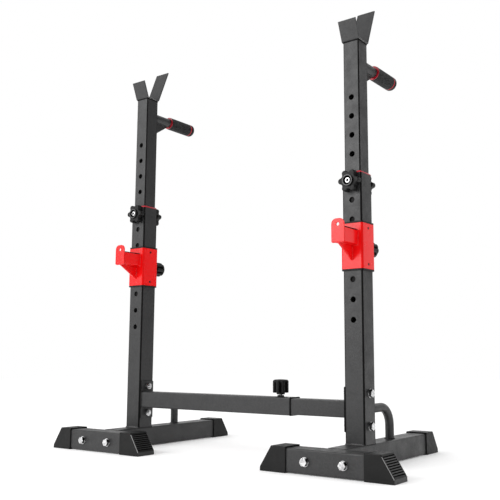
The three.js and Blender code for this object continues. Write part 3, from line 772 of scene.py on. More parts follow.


# Colours run from deep to pale, and for a coat to the colour of its specks and of the painted shade on its
# edges; then come roughness, specular level and texture
materials = {
    "frame_steel": powder_coat("black_powder_coat", grey(0.005), (0.031, 0.031, 0.032), grey(0.003),
                               0.42, 0.5),
    "hook_steel": powder_coat("red_powder_coat", (0.77, 0.003, 0.004), (0.83, 0.004, 0.005),
                              (0.40, 0.001, 0.001), 0.25, 0.42, 0.3),
    "black_plastic": moulded("black_plastic", grey(0.004), grey(0.008), 0.46, 0.24),
    "red_plastic": moulded("red_plastic", (0.34, 0.003, 0.014), (0.44, 0.005, 0.020), 0.3, 0.5),
    "foam": foam_rubber("foam_rubber", grey(0.001), (0.048, 0.048, 0.049)),
    "zinc_steel": plated_zinc("zinc_plate", (0.42, 0.42, 0.43), grey(0.90)),
    # Finishes of zones on pieces whose slot is one of those above
    # The post's part inside the upright: painted shade, so that what shows through the upright's pin holes is
    # dark
    "hidden_post_shade": powder_coat("post_shade_coat", grey(0.003), grey(0.011), grey(0.002), 0.62, 0.17),
    # The outer face of a grip ring: painted shade between its two lit rims
    "ring_shade_band": moulded("ring_shade_band", (0.08, 0.001, 0.003), (0.11, 0.001, 0.004), 0.3, 0.4),
    # The sides of bolt heads: zinc painted dark as shade
    "shaded_head_zinc": plated_zinc("shaded_head_zinc", grey(0.04), grey(0.12)),
    # The front rim of a star knob's hub: painted highlight
    "hub_highlight_plastic": moulded("hub_highlight_plastic", grey(0.045), grey(0.065), 0.34, 0.5),
    "shaded_plastic": moulded("shaded_plastic", grey(0.001), grey(0.002), 0.8, 0.05),
    # The rounded edge down a foot cap's slope: painted highlight
    "edge_highlight_plastic": moulded("edge_highlight_plastic", grey(0.16), grey(0.34), 0.4, 0.5),
    # The rib tops and the lip of a foot cap: painted lighter, as highlight and as the lit side
    "rib_highlight_plastic": moulded("rib_highlight_plastic", grey(0.011), grey(0.020), 0.4, 0.4),
    # Rounded corners of black tubes and some edges and beads: painted shade
    "tube_corner_shade": powder_coat("black_corner_shade_coat", grey(0.003), grey(0.006), grey(0.002), 0.55, 0.10),
    # The low side edges of a saddle: painted highlight
    "saddle_edge_highlight": powder_coat("saddle_edge_highlight_coat", grey(0.25), grey(0.62), grey(0.50), 0.40, 0.5),
    # Rounded corners of the red hook sleeve: painted shade
    "hook_corner_shade": powder_coat("red_corner_shade_coat", (0.62, 0.001, 0.001), (0.70, 0.001, 0.001),
                             (0.55, 0.001, 0.001), 0.40, 0.10, 0.3),
    # A bright metal strip on the upright's weld bead: painted glint
    "weld_glint_metal": plated_zinc("weld_glint_metal", grey(0.60), grey(0.95)),
}


# Pieces

def piece(name, shell, place, body, slot="frame_steel", nodes=(), sharp=SHARP_ANGLE,
          zones=()):
    """A shell in millimetres becomes a piece in metres that rides on a body and stands for CAD nodes.

    Zones are (finish, test) pairs: a face takes the finish whose test its middle passes, in the shell's axes.
    """
    bmesh.ops.recalc_face_normals(shell, faces=shell.faces)
    for face in shell.faces:
        at = face.calc_center_median()
        face.material_index = next((i for i, (_, test) in enumerate(zones, 1) if test(at)), 0)
        face.smooth = True
    shell.transform(Matrix.Scale(MM, 4) @ place)
    mesh = bpy.data.meshes.new(name)
    shell.to_mesh(mesh)
    shell.free()
    mesh.set_sharp_from_angle(angle=math.radians(sharp))
    for finish_name in (slot, *(zone[0] for zone in zones)):
        mesh.materials.append(materials[finish_name])
    made = bpy.data.objects.new(name, mesh)
    bpy.context.scene.collection.objects.link(made)
    weighting = made.modifiers.new("flat_faces_stay_flat", "WEIGHTED_NORMAL")
    weighting.keep_sharp = True
    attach(made, body)
    if nodes:
        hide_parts(*nodes)
    return made


def stands_for(node, shell, place, body, slot="frame_steel", sharp=SHARP_ANGLE, zones=()):
    return piece(f"{node}_dressed", shell, place, body, slot, [node], sharp, zones)


def shaded_corner_zone(width, corner):
    """The zone of the rounded corners of a square tube along Z, painted dark as shade."""
    start = width / 2 - corner
    return "tube_corner_shade", lambda at: abs(at.x) > start and abs(at.y) > start


# Feet

def foot_cap():
    """The tube goes in at X = 0 and the ribbed slope faces +X; Z = 0 is the floor."""
    cap_height = SOLE_THICKNESS + FOOT_WIDTH + SEAM + CAP_WALL
    axis_height = SOLE_THICKNESS + FOOT_WIDTH / 2
    half = FOOT_WIDTH / 2 + SEAM + CAP_WALL
    column = half - CAP_RIM
    up = Vector((0, 1))
    ridge = Vector((CAP_TOP_LENGTH, cap_height))
    slope = Vector((CAP_LENGTH, CAP_LIP)) - ridge
    run = slope.length
    along = slope.normalized()
    facing = Vector((-along.y, along.x))

    # The loop across the cap: over the top, where its middle can be sunk, and back along the sole
    flank = [(half - back, drop, False) for drop, back in rounding(CAP_EDGE, CAP_EDGE_STEPS)]
    flank += [(column, 0, False), (column - GROOVE_DRAFT, 0, True)]
    top = flank + [(-y, drop, sunk) for y, drop, sunk in reversed(flank)]
    sole = [(back - half, z) for z, back in rounding(CAP_SOLE_EDGE, CAP_SOLE_STEPS)]
    sole += [(-y, z) for y, z in reversed(sole)]

    def station(point, normal, depth=0.0, shrink=0.0):
        row = []
        for y, drop, sunk in top:
            at = point - normal * (drop + depth * sunk + shrink)
            row.append((at.x, y - math.copysign(shrink, y), at.y))
        return row + [(point.x, y - math.copysign(shrink, y), z + shrink) for y, z in sole]

    rows = [station(Vector((x, cap_height)), up, shrink=shrink)
            for shrink, x in rounding(CAP_END_EDGE, CAP_SOLE_STEPS)]
    bend = up.angle(facing)
    centre = ridge - Vector((CAP_RIDGE_RADIUS * math.tan(bend / 2), CAP_RIDGE_RADIUS))
    for i in range(CAP_EDGE_STEPS + 1):
        normal = Vector(polar(1, QUARTER - bend * i / CAP_EDGE_STEPS))
        rows.append(station(centre + normal * CAP_RIDGE_RADIUS, normal))
    pitch = (run - 2 * GROOVE_MARGIN) / GROOVE_COUNT
    edge, floor_edge = GROOVE_WIDTH / 2, GROOVE_WIDTH / 2 - GROOVE_DRAFT
    for i in range(GROOVE_COUNT):
        middle_of_groove = GROOVE_MARGIN + (i + 0.5) * pitch
        for offset, depth in ((-edge, 0), (-floor_edge, GROOVE_DEPTH), (floor_edge, GROOVE_DEPTH), (edge, 0)):
            rows.append(station(ridge + along * (middle_of_groove + offset), facing, depth))
    lip = station(ridge + along * (run - CAP_LIP_SETBACK), facing)
    rows.append(lip)
    for i in range(1, CAP_SOLE_STEPS + 1):
        a = QUARTER * i / CAP_SOLE_STEPS
        back = CAP_SOLE_EDGE * (1 - math.cos(a))
        rows.append([(x + (CAP_LENGTH - x) * math.sin(a), y - math.copysign(back, y),
                      z + back if z < CAP_LIP / 2 else min(z, CAP_LIP) - back) for x, y, z in lip])

    # The pocket for the tube has as many points across it as a station, and flares towards its mouth
    wall = FOOT_WIDTH / 2 + SEAM
    corner = wall - FOOT_CORNER
    pocket = arc(corner, corner, FOOT_CORNER, 0, QUARTER, CAP_EDGE_STEPS)
    pocket += [(y, wall) for y in (column, column - GROOVE_DRAFT, GROOVE_DRAFT - column, -column)]
    pocket += arc(-corner, corner, FOOT_CORNER, QUARTER, 2 * QUARTER, CAP_EDGE_STEPS)
    pocket += arc(-corner, -corner, FOOT_CORNER, 2 * QUARTER, 3 * QUARTER, CAP_SOLE_STEPS)
    pocket += arc(corner, -corner, FOOT_CORNER, 3 * QUARTER, 4 * QUARTER, CAP_SOLE_STEPS)
    flare = 1 + CAP_MOUTH / wall
    inner = [[(x, y, axis_height + z) for y, z in pocket] for x in (CAP_POCKET + SEAM, CAP_MOUTH_DEPTH)]
    inner.append([(0, y * flare, max(CAP_MOUTH_FLOOR, axis_height + z * flare)) for y, z in pocket])

    def on_slope(at):
        """How far down the slope a place is and how deep under its face, if it is on the sloping part."""
        from_ridge = Vector((at.x, at.z)) - ridge
        down, depth = from_ridge.dot(along), -from_ridge.dot(facing)
        sloping = GROOVE_MARGIN < down < run and at.x > CAP_TOP_LENGTH - GROOVE_DEPTH
        return (down, depth) if sloping else (0, -1)

    # Rib tops are painted lighter than the plastic: a painted highlight
    def on_rib(at):
        down, depth = on_slope(at)
        return 0 < down < run - GROOVE_MARGIN and abs(depth) < 0.2 and abs(at.y) < column

    def in_groove(at):
        return 0.5 < on_slope(at)[1] < GROOVE_DEPTH + 0.5 and abs(at.y) < column

    # The rounded edge beside the ribs, painted light as a highlight
    def on_rounding(at):
        return 0.3 < on_slope(at)[1] < 0.75 * CAP_EDGE and abs(at.y) > half - CAP_EDGE and at.z > CAP_LIP - 1

    # The lip's end face is painted lighter: painted light on the side the light falls on
    def on_lip(at):
        return at.x > CAP_LENGTH - 0.8 and at.z < CAP_LIP

    return skin(bmesh.new(), inner + rows), (("rib_highlight_plastic", on_rib), ("shaded_plastic", in_groove),
                                             ("edge_highlight_plastic", on_rounding), ("rib_highlight_plastic", on_lip))


def add_foot_cap(node, place, body):
    cap, zones = foot_cap()
    stands_for(node, cap, place, body, "black_plastic", sharp=28, zones=zones)


def on_head_side(at):
    """The six sides of a bolt's head, without its face."""
    return (WASHER_FACE - BOLT_HEAD_HEIGHT + 1 < at.z < WASHER_FACE - 0.06
            and at.xy.length > BOLT_HEAD_SIZE / 2 - 1)


def add_bolt(node, grip, place, body):
    """Z = 0 is the face under the washer and the shank runs to +Z, through the grip and its nut."""
    shell = bmesh.new()
    outer, bore = WASHER_DIAMETER / 2, BOLT_DIAMETER / 2 + 4 * HAIR
    low, high, ease = WASHER_FACE, -SEAM, WASHER_EASE
    lathe(shell, [(bore, low), (outer - ease, low), (outer, low + ease), (outer, high - ease),
                  (outer - ease, high), (bore, high)], closed=True)
    hexagon(shell, BOLT_HEAD_SIZE, low - BOLT_HEAD_HEIGHT, low - HAIR, chamfers=(True, False))
    hexagon(shell, BOLT_HEAD_SIZE, grip + SEAM, grip + SEAM + NUT_HEIGHT, bore=BOLT_DIAMETER + 2 * HAIR)
    thread(shell, BOLT_DIAMETER, BOLT_PITCH, low, grip + NUT_HEIGHT + BOLT_TIP)
    # The head's six sides are painted dark: painted shade
    stands_for(node, shell, place, body, "zinc_steel", zones=[("shaded_head_zinc", on_head_side)])


def add_brace(side, stand, body):
    """A round bar back from the upright, round a bend and down to the foot."""
    low, high = box_of(f"foot_brace_{side}")
    radius = BRACE_DIAMETER / 2
    start, reach, height = low.y - stand.y, high.y - radius - stand.y, high.z - radius
    bend = arc(reach - BRACE_BEND, height - BRACE_BEND, BRACE_BEND, QUARTER, 0, BRACE_STEPS)
    path = [(0, start, height), *((0, y, z) for y, z in bend), (0, reach, low.z)]
    brace = sweep(bmesh.new(), path, [radius] * len(path), BRACE_SIDES)
    place = shift(stand.x, stand.y, 0)
    stands_for(f"foot_brace_{side}", brace, place, body)
    beads = bmesh.new()
    ring = circle(BRACE_DIAMETER + WELD_RING_EXTRA, WELD_RING_STEPS)
    weld(beads, [(x, start, height + y) for x, y in ring])
    weld(beads, [(x, reach + y, low.z) for x, y in ring])
    piece(f"brace_weld_{side}", beads, place, body)


def add_feet(side, inward, stand, body):
    front_low, front_high = box_of(f"front_foot_tube_{side}")
    rear_low, rear_high = box_of(f"rear_foot_tube_{side}")
    front = (front_low + front_high) / 2
    length = front_high.x - front_low.x
    bolts = [way * FOOT_BOLT_SPREAD / 2 for way in (-1, 1)]
    holes = [(face, length / 2 + at, BOLT_HOLE) for face in FRONT_AND_REAR for at in bolts]
    tube = square_tube(FOOT_WIDTH, FOOT_WALL, FOOT_CORNER, length, holes)
    front_place = shift(front_low.x, front.y, front.z) @ turn(90, "Y")
    stands_for(f"front_foot_tube_{side}", tube, front_place, body)

    rear_place = shift(front.x, rear_low.y, front.z) @ turn(-90, "X")
    rear = square_tube(FOOT_WIDTH, FOOT_WALL, FOOT_CORNER, rear_high.y - rear_low.y - FLANGE_THICKNESS)
    rear.transform(shift(0, 0, FLANGE_THICKNESS))
    flange = rounded(FLANGE_WIDTH, FOOT_WIDTH - 2 * FLANGE_MARGIN, FOOT_CORNER)
    plate(rear, flange, FLANGE_THICKNESS, FLANGE_EASE, [(at, 0, BOLT_HOLE) for at in bolts])
    stands_for(f"rear_foot_tube_{side}", rear, rear_place, body)
    seams = bmesh.new()
    reach = FOOT_WIDTH / 2 - FOOT_CORNER
    for x in (-FOOT_WIDTH / 2, FOOT_WIDTH / 2):
        weld(seams, [(x, -reach, FLANGE_THICKNESS), (x, reach, FLANGE_THICKNESS)], closed=False)
    piece(f"flange_weld_{side}", seams, rear_place, body)

    for end, way in (("inner", inward), ("outer", -inward)):
        low, high = box_of(f"front_foot_cap_{end}_{side}")
        place = shift(low.x if way > 0 else high.x, front.y, 0) @ turn(0 if way > 0 else 180, "Z")
        add_foot_cap(f"front_foot_cap_{end}_{side}", place, body)
        place = shift(front.x + way * FOOT_BOLT_SPREAD / 2, front_low.y, front.z) @ turn(-90, "X")
        add_bolt(f"foot_bolt_{end}_{side}", FOOT_WIDTH + SEAM + FLANGE_THICKNESS, place, body)
    cap_low, _ = box_of(f"rear_foot_cap_{side}")
    add_foot_cap(f"rear_foot_cap_{side}", shift(front.x, cap_low.y, 0) @ turn(90, "Z"), body)
    add_brace(side, stand, body)


# Upright, guide and clamp knobs

def weld_nut(shell, place):
    """A nut welded on a face at local Z = 0, with a small bead round its foot."""
    nut = hexagon(bmesh.new(), WELD_NUT_SIZE, 0, WELD_NUT_HEIGHT, STUD_DIAMETER + 0.6, (False, True))
    corner = WELD_NUT_SIZE / math.sqrt(3)
    weld(nut, level([polar(corner, math.pi / 3 * i) for i in range(6)], 0), NUT_WELD)
    merge(shell, nut, place)


def guide_bushing(post_width):
    """Z = 0 is the upright's end and the bevelled rim is above it."""
    bore = post_width + 2 * SEAM
    insert = UPRIGHT_WIDTH - 2 * FOOT_WALL - 2 * SEAM
    rim = UPRIGHT_WIDTH - 2 * GUIDE_RIM_INSET
    base = SEAM + GUIDE_RIM_BASE
    top = base + GUIDE_RIM_BEVEL
    return square_ring([
        (insert, 2, -GUIDE_DEPTH), (insert, 2, SEAM),
        (UPRIGHT_WIDTH - 0.8, 3.8, SEAM), (UPRIGHT_WIDTH, 4, SEAM + 0.4),
        (UPRIGHT_WIDTH, 4, base), (UPRIGHT_WIDTH - 1, 3.8, base + 0.8),
        (rim + 0.8, 3.4, top - 0.6), (rim, 3.2, top),
        (bore + 0.6, 3.2, top), (bore, 3, top - 0.3), (bore, 3, -GUIDE_DEPTH)])


def star_knob():
    """Local Z points away from the tube; Z = 0 is the tube's face."""
    shell = bmesh.new()
    outline = lobed(STAR_DIAMETER, STAR_LOBE, STAR_VALLEY, STAR_LOBES, STAR_LOBE_STEPS)
    body = chain(shell, eased(outline, STAR_STANDOFF, STAR_FACE, STAR_EASE, SOFT_EDGE_STEPS))
    hub, recess, back = STAR_HUB / 2, STAR_RECESS / 2, STAR_BACK_RECESS / 2
    front = chain(shell, circles([
        (hub, STAR_FACE), (hub, STAR_TOP - HUB_EASE), (hub - HUB_EASE, STAR_TOP), (hub - STAR_RIM, STAR_TOP),
        (recess + RECESS_EASE, STAR_TOP), (recess, STAR_TOP - RECESS_EASE), (recess, STAR_FLOOR)]))
    fill(shell, front[-1])
    fill(shell, body[-1], front[0])
    rear = chain(shell, circles([(back, STAR_STANDOFF), (back, STAR_BACK_FLOOR)]))
    fill(shell, rear[-1])
    fill(shell, body[0], rear[0])
    return shell


# The hub's front rim, painted lighter as a highlight
def on_hub_rim(at):
    return at.z > STAR_TOP - NEAR and at.xy.length > STAR_HUB / 2 - STAR_RIM


def in_recess(at):
    return at.z > STAR_FLOOR - NEAR and at.xy.length < STAR_RECESS / 2 + 0.4


def star_screw(stud_reach):
    """Local Z points into the tube, so the head in the knob's recess is on the -Z side."""
    shell = bmesh.new()
    head = -STAR_FLOOR - STAR_HEAD_HEIGHT
    hexagon(shell, STAR_HEAD_SIZE, head, -STAR_FLOOR - HAIR, bore=STAR_SOCKET, chamfers=(True, False))
    return thread(shell, STUD_DIAMETER, STUD_PITCH, HAIR - STAR_BACK_FLOOR, stud_reach)


def fluted_knob():
    """Local Z points away from the part that carries the nut; Z = 0 is that part's face."""
    start, crown = FLUTE_START, FLUTE_CROWN_START
    top = crown + FLUTE_CROWN
    radius, foot = FLUTE_DIAMETER / 2, FLUTE_FOOT
    profile = [(radius - foot, start), (radius - 0.3 * foot, start + 0.3 * foot), (radius, start + foot),
               (radius, crown - 0.8), (radius - 0.15, crown)]
    for share in [i / FLUTE_CROWN_STEPS for i in range(1, FLUTE_CROWN_STEPS + 1)]:
        profile.append((radius - FLUTE_CROWN_INSET * share ** 2, crown + FLUTE_CROWN * share))
    for a in [QUARTER * i / FLUTE_DOME_STEPS for i in range(1, FLUTE_DOME_STEPS)]:
        profile.append(((radius - FLUTE_CROWN_INSET) * math.cos(a), top + FLUTE_DOME * math.sin(a)))
    turned = Matrix.Rotation(math.radians(FLUTE_TURN), 2)
    outline = [turned @ Vector(p) for p in lobed(FLUTE_DIAMETER, FLUTE_LOBE, FLUTE_VALLEY, FLUTE_LOBES)]
    rows = []
    for reach, height in profile:
        shares = [min(1.0, reach / math.hypot(x, y)) for x, y in outline]
        rows.append([(x * share, y * share, height) for (x, y), share in zip(outline, shares)])
    shell = bmesh.new()
    body = chain(shell, rows + [[(0, 0, top + FLUTE_DOME)]])
    hub, base = FLUTE_HUB / 2, FLUTE_HUB_START
    boss = chain(shell, circles([(hub, start), (hub, base + HUB_EASE), (hub - HUB_EASE, base)]))
    fill(shell, boss[-1])
    fill(shell, body[0], boss[0])
    return shell


def in_flute(at):
    return FLUTE_HUB / 2 < at.xy.length < FLUTE_DIAMETER / 2 - FLUTE_SHADE and at.z < FLUTE_CROWN_START


def add_knob(node, shell, screw, place, body, zones):
    stands_for(node, shell, place, body, "black_plastic", sharp=40, zones=zones)
    piece(f"{node}_screw", screw, place @ turn(180, "X"), body, "zinc_steel")


def add_star_knob(node, stud_reach, place, body):
    zones = (("hub_highlight_plastic", on_hub_rim), ("shaded_plastic", in_recess))
    add_knob(node, star_knob(), star_screw(stud_reach), place, body, zones)


def add_fluted_knob(node, stud_reach, place, body):
    screw = thread(bmesh.new(), STUD_DIAMETER, STUD_PITCH, HAIR - FLUTE_HUB_START, stud_reach)
    add_knob(node, fluted_knob(), screw, place, body, [("shaded_plastic", in_flute)])


# A strip along the top of the bead's front, made bright metal as a painted glint
def on_weld_glint(at):
    return at.y < 0 and at.z > WELD_GLINT_HEIGHT and abs(at.x - WELD_GLINT_PLACE) < WELD_GLINT_LENGTH / 2


def pin_holes(length, drop, count):
    """Pin holes in a tube's front and rear, from the first one under its top."""
    return [(face, length - drop - i * PIN_PITCH, PIN_HOLE) for face in FRONT_AND_REAR for i in range(count)]


def add_upright(side, inward, stand, body, post_width):
    low, high = box_of(f"lower_upright_{side}")
    crossbar = middle("crossbar_outer").z
    clamp = middle(f"front_star_knob_{side}").z
    length = high.z - low.z
    half = UPRIGHT_WIDTH / 2
    joints = [(face, crossbar - low.z + way * CROSS_BOLT_SPREAD / 2, BOLT_HOLE)
              for face in LEFT_AND_RIGHT for way in (-1, 1)]
    holes = pin_holes(length, UPRIGHT_PIN_DROP, UPRIGHT_PIN_COUNT) + joints
    tube = square_tube(UPRIGHT_WIDTH, FOOT_WALL, FOOT_CORNER, length, holes)
    for way in (1, -1):
        weld_nut(tube, shift(0, -way * half, clamp - low.z) @ turn(way * 90, "X"))
    place = shift(stand.x, stand.y, low.z)
    # The upright's rounded corners take painted shade
    zones = [shaded_corner_zone(UPRIGHT_WIDTH, FOOT_CORNER)]
    stands_for(f"lower_upright_{side}", tube, place, body, zones=zones)
    for name, y in (("front", -half), ("rear", half)):
        bead = weld(bmesh.new(), [(-half, y, 0), (half, y, 0)], FOOT_WELD, closed=False)
        zones = [("weld_glint_metal", on_weld_glint)]
        piece(f"upright_{name}_weld_{side}", bead, place, body, zones=zones)
    bushing = guide_bushing(post_width)
    stands_for(f"guide_bushing_{side}", bushing, shift(stand.x, stand.y, high.z), body, "red_plastic")

    stud_reach = (UPRIGHT_WIDTH - post_width) / 2 - SEAM
    for end, way in (("front", 1), ("rear", -1)):
        face = shift(stand.x, stand.y - way * half, clamp) @ turn(way * 90, "X")
        add_star_knob(f"{end}_star_knob_{side}", stud_reach, face, f"{side}_{end}_knob")
    for end, way in (("upper", 1), ("lower", -1)):
        at = shift(stand.x - inward * half, stand.y, crossbar + way * CROSS_BOLT_SPREAD / 2)
        grip = UPRIGHT_WIDTH + SEAM + CROSS_FLANGE_THICKNESS
        add_bolt(f"crossbar_bolt_{end}_{side}", grip, at @ turn(inward * 90, "Y"), body)


# Post, saddle and handle

def bar_saddle(post_width):
    """A plate bent into a V on the post's top, drawn as its section and as wide as the post is deep."""
    half = post_width / 2 + SADDLE_OVERHANG
    tilt = math.tan(SADDLE_LEAN)
    flat = SADDLE_THICKNESS * (1 - math.sin(SADDLE_LEAN)) / math.cos(SADDLE_LEAN)
    thick, rise = polar(SADDLE_THICKNESS, SADDLE_LEAN)
    front_tip = half + SADDLE_FRONT * tilt
    rear_tip = half + SADDLE_REAR * tilt
    section = [(-half, 0), (half, 0), (rear_tip, SADDLE_REAR), (rear_tip - thick, SADDLE_REAR + rise),
               (half - flat, SADDLE_THICKNESS), (flat - half, SADDLE_THICKNESS),
               (thick - front_tip, SADDLE_FRONT + rise), (-front_tip, SADDLE_FRONT)]
    outer, inner, tip = SADDLE_BEND + SADDLE_THICKNESS, SADDLE_BEND, SADDLE_TIP
    outline = filleted(section, [outer, outer, tip, tip, inner, inner, tip, tip])
    shell = plate(bmesh.new(), outline, SADDLE_WIDTH)
    shell.transform(shift(-SADDLE_WIDTH / 2) @ on_edge())
    return shell


def on_saddle_edge_highlight(at):
    """The low part of the saddle's edges on its two sides, painted light as a highlight."""
    return abs(at.x) > SADDLE_WIDTH / 2 - NEAR and at.z < SADDLE_HIGHLIGHT_HEIGHT


def add_post(side, stand, body):
    low, high = box_of(f"upper_post_{side}")
    width = high.x - low.x
    length = high.z - low.z
    place = shift(stand.x, stand.y, low.z)
    holes = pin_holes(length, POST_PIN_DROP, POST_PIN_COUNT)
    tube = square_tube(width, POST_WALL, POST_CORNER, length, holes)
    inside = box_of(f"lower_upright_{side}")[1].z - low.z
    # Below the upright's top the post is painted nearly black: painted shade behind the pin holes
    split(tube, inside)
    stands_for(f"upper_post_{side}", tube, place, body,
               zones=[("hidden_post_shade", lambda at: at.z < inside), shaded_corner_zone(width, POST_CORNER)])
    saddle_place = shift(stand.x, stand.y, box_of(f"bar_saddle_{side}")[0].z)
    saddle = bar_saddle(width)
    split(saddle, SADDLE_HIGHLIGHT_HEIGHT)
    stands_for(f"bar_saddle_{side}", saddle, saddle_place, body, zones=[("saddle_edge_highlight", on_saddle_edge_highlight)])
    ring = weld(bmesh.new(), level(rounded(width, width, POST_CORNER), length), SMALL_WELD)
    # The whole bead takes the dark corner finish: painted shade where the saddle meets the post
    piece(f"saddle_weld_{side}", ring, place, body, zones=[("tube_corner_shade", lambda at: True)])
    add_handle(side, stand, body, width)
    return width


def sleeve(diameter, length, ease):
    """A ring on the handle's tube with rounded outer edges."""
    inner, outer = HANDLE_DIAMETER / 2 + SEAM, diameter / 2
    edge = rounding(ease, SOFT_EDGE_STEPS)
    profile = [(inner, 0), *((outer - back, up) for back, up in edge)]
    profile += [*((outer - back, length - up) for back, up in reversed(edge)), (inner, length)]
    return lathe(bmesh.new(), profile, closed=True)


def end_cap():
    """Z = 0 is the cap's flat end on the handle's tube and its dome is at the top."""
    outer, inner = GRIP_DIAMETER / 2, HANDLE_DIAMETER / 2 + SEAM
    profile = [(0, END_CAP_SOCKET), (inner, END_CAP_SOCKET), (inner, 0), (outer - END_CAP_EASE, 0),
               (outer, END_CAP_EASE)]
    dome = rounding(END_CAP_RADIUS, END_CAP_STEPS)
    profile += [(outer - back, END_CAP_LENGTH - drop) for drop, back in dome]
    return lathe(bmesh.new(), profile + [(0, END_CAP_LENGTH)])


# The ring's outer face, painted dark red as shade between its lit edges
def on_ring_shade_band(at):
    return at.xy.length > RING_DIAMETER / 2 - 0.15


def add_handle(side, stand, body, post_width):
    low, high = box_of(f"handle_tube_{side}")
    height = (low.z + high.z) / 2
    axis = shift(stand.x, low.y, height) @ turn(-90, "X")
    radius, length = HANDLE_DIAMETER / 2, high.y - low.y
    bore = radius - HANDLE_WALL
    tube = lathe(bmesh.new(), [(radius, 0), (radius, length), (bore, length), (bore, 0)], closed=True)
    stands_for(f"handle_tube_{side}", tube, axis, body)
    bead = weld(bmesh.new(), level(circle(HANDLE_DIAMETER + WELD_RING_EXTRA, HOLE_STEPS), 0))
    piece(f"handle_weld_{side}", bead, axis, body)

    reach, drop = HANDLE_GUSSET_REACH, -HANDLE_GUSSET_DROP
    outline = filleted([(0, drop), (reach, -HANDLE_GUSSET_NOSE), (reach, 0), (0, 0)], [GUSSET_CORNER] * 4)
    gusset = plate(bmesh.new(), outline, GUSSET_THICKNESS)
    gusset_place = shift(stand.x - GUSSET_THICKNESS / 2, low.y, height - radius - SEAM) @ on_edge()
    stands_for(f"handle_gusset_{side}", gusset, gusset_place, body)
    seams = bmesh.new()
    start, end, under = HANDLE_BEAD_START, HANDLE_BEAD_END, -HANDLE_BEAD_DROP
    for z in (0, GUSSET_THICKNESS):
        weld(seams, [(start, under, z), (reach - end, under, z)], SMALL_WELD, closed=False)
        weld(seams, [(0, -start, z), (0, drop + BEAD_TIP, z)], SMALL_WELD, closed=False)
    piece(f"handle_gusset_weld_{side}", seams, gusset_place, body)

    ring = RING_DIAMETER, RING_THICKNESS, RING_EASE
    at = shift(stand.x, stand.y + post_width / 2 + GRIP_SETBACK, height) @ turn(-90, "X")
    for node, slot, sizes, zones in (("grip_ring_inner", "red_plastic", ring, [("ring_shade_band", on_ring_shade_band)]),
                                     ("foam_grip", "foam", (GRIP_DIAMETER, GRIP_LENGTH, GRIP_EASE), ()),
                                     ("grip_ring_outer", "red_plastic", ring, ())):
        made = stands_for(f"{node}_{side}", sleeve(*sizes), at, body, slot, sharp=50, zones=zones)
        at = at @ shift(0, 0, sizes[1] + SEAM)
    stands_for(f"handle_end_cap_{side}", end_cap(), at, body, "black_plastic", sharp=40)


# Hook

def hook_plate():
    """The plate at the arm's front end, with Y up, its upper corners round and a hole between them."""
    half = ARM_WIDTH / 2
    outline = filleted([(-half, 0), (half, 0), (half, PLATE_HEIGHT), (-half, PLATE_HEIGHT)],
                       [PLATE_FOOT_RADIUS, PLATE_FOOT_RADIUS, PLATE_RADIUS, PLATE_RADIUS], LARGE_CORNER_STEPS)
    hole = (0, PLATE_HEIGHT - PLATE_HOLE_SETBACK, PLATE_HOLE)
    return plate(bmesh.new(), outline, PLATE_THICKNESS, FLANGE_EASE, [hole])


def hook_gusset():
    """The triangle under the arm; X = 0 is the sleeve's face and the arm runs to -X."""
    corners = [(0, HOOK_GUSSET_BITE), (-HOOK_GAP, HOOK_GUSSET_BITE), (-HOOK_GAP, -HOOK_GUSSET_NOSE),
               (0, -HOOK_GUSSET_DROP)]
    small = GUSSET_CORNER / 2
    outline = filleted(corners, [small, small, GUSSET_CORNER, GUSSET_CORNER])
    return plate(bmesh.new(), outline, GUSSET_THICKNESS)


def hook_welds(face):
    """Beads round the arm's root and under its front end, and along both sides of the gusset."""
    beads = bmesh.new()
    axis = ARM_TOP - ARM_WIDTH / 2
    outline = rounded(ARM_WIDTH, ARM_WIDTH, ARM_CORNER, 3)
    weld(beads, [(x, -face, axis + z) for x, z in outline])
    under = [(x, z) for x, z in outline if z < ARM_WIDTH / 2 - ARM_CORNER]
    weld(beads, [(x, -face - HOOK_GAP, axis + z) for x, z in under], SMALL_WELD, closed=False)
    start, end = HOOK_BEAD_START, HOOK_BEAD_END
    for x in (-GUSSET_THICKNESS / 2, GUSSET_THICKNESS / 2):
        down = [(x, -face, ARM_BOTTOM - start), (x, -face, ARM_BOTTOM - HOOK_GUSSET_DROP + BEAD_TIP)]
        along = [(x, -face - start, ARM_BOTTOM), (x, -face - HOOK_GAP + end, ARM_BOTTOM)]
        for line in (down, along):
            weld(beads, line, SMALL_WELD, closed=False)
    return beads


def hook_liner(width):
    """Z = 0 is the sleeve's end and the rim is above it."""
    lining = width - 2 * SLEEVE_WALL - 2 * SEAM
    bore = UPRIGHT_WIDTH + 2 * SEAM
    rim, corner = SEAM + LINER_RIM, SLEEVE_CORNER
    shell = square_ring([
        (lining, 3, -LINER_DEPTH), (lining, 3, SEAM),
        (width - 0.6, corner - 0.3, SEAM), (width, corner, SEAM + 0.3), (width, corner, rim - 0.8),
        (width - 0.5, corner - 0.25, rim - 0.25), (width - 1.6, corner - 0.8, rim),
        (bore + 1, 4.2, rim), (bore, 4, rim - 0.5), (bore, 4, -LINER_DEPTH)])
    radius, start, reach = LINER_PIN / 2, lining / 2, width / 2 + LINER_PIN_PROUD
    profile = [(0, start), (radius, start), (radius, reach - 0.5), (radius - 0.5, reach), (0, reach)]
    for way in (-1, 1):
        pin = lathe(bmesh.new(), profile, LINER_PIN_STEPS)
        merge(shell, pin, shift(0, 0, -LINER_PIN_SETBACK) @ turn(way * 90, "Y"))
    return shell


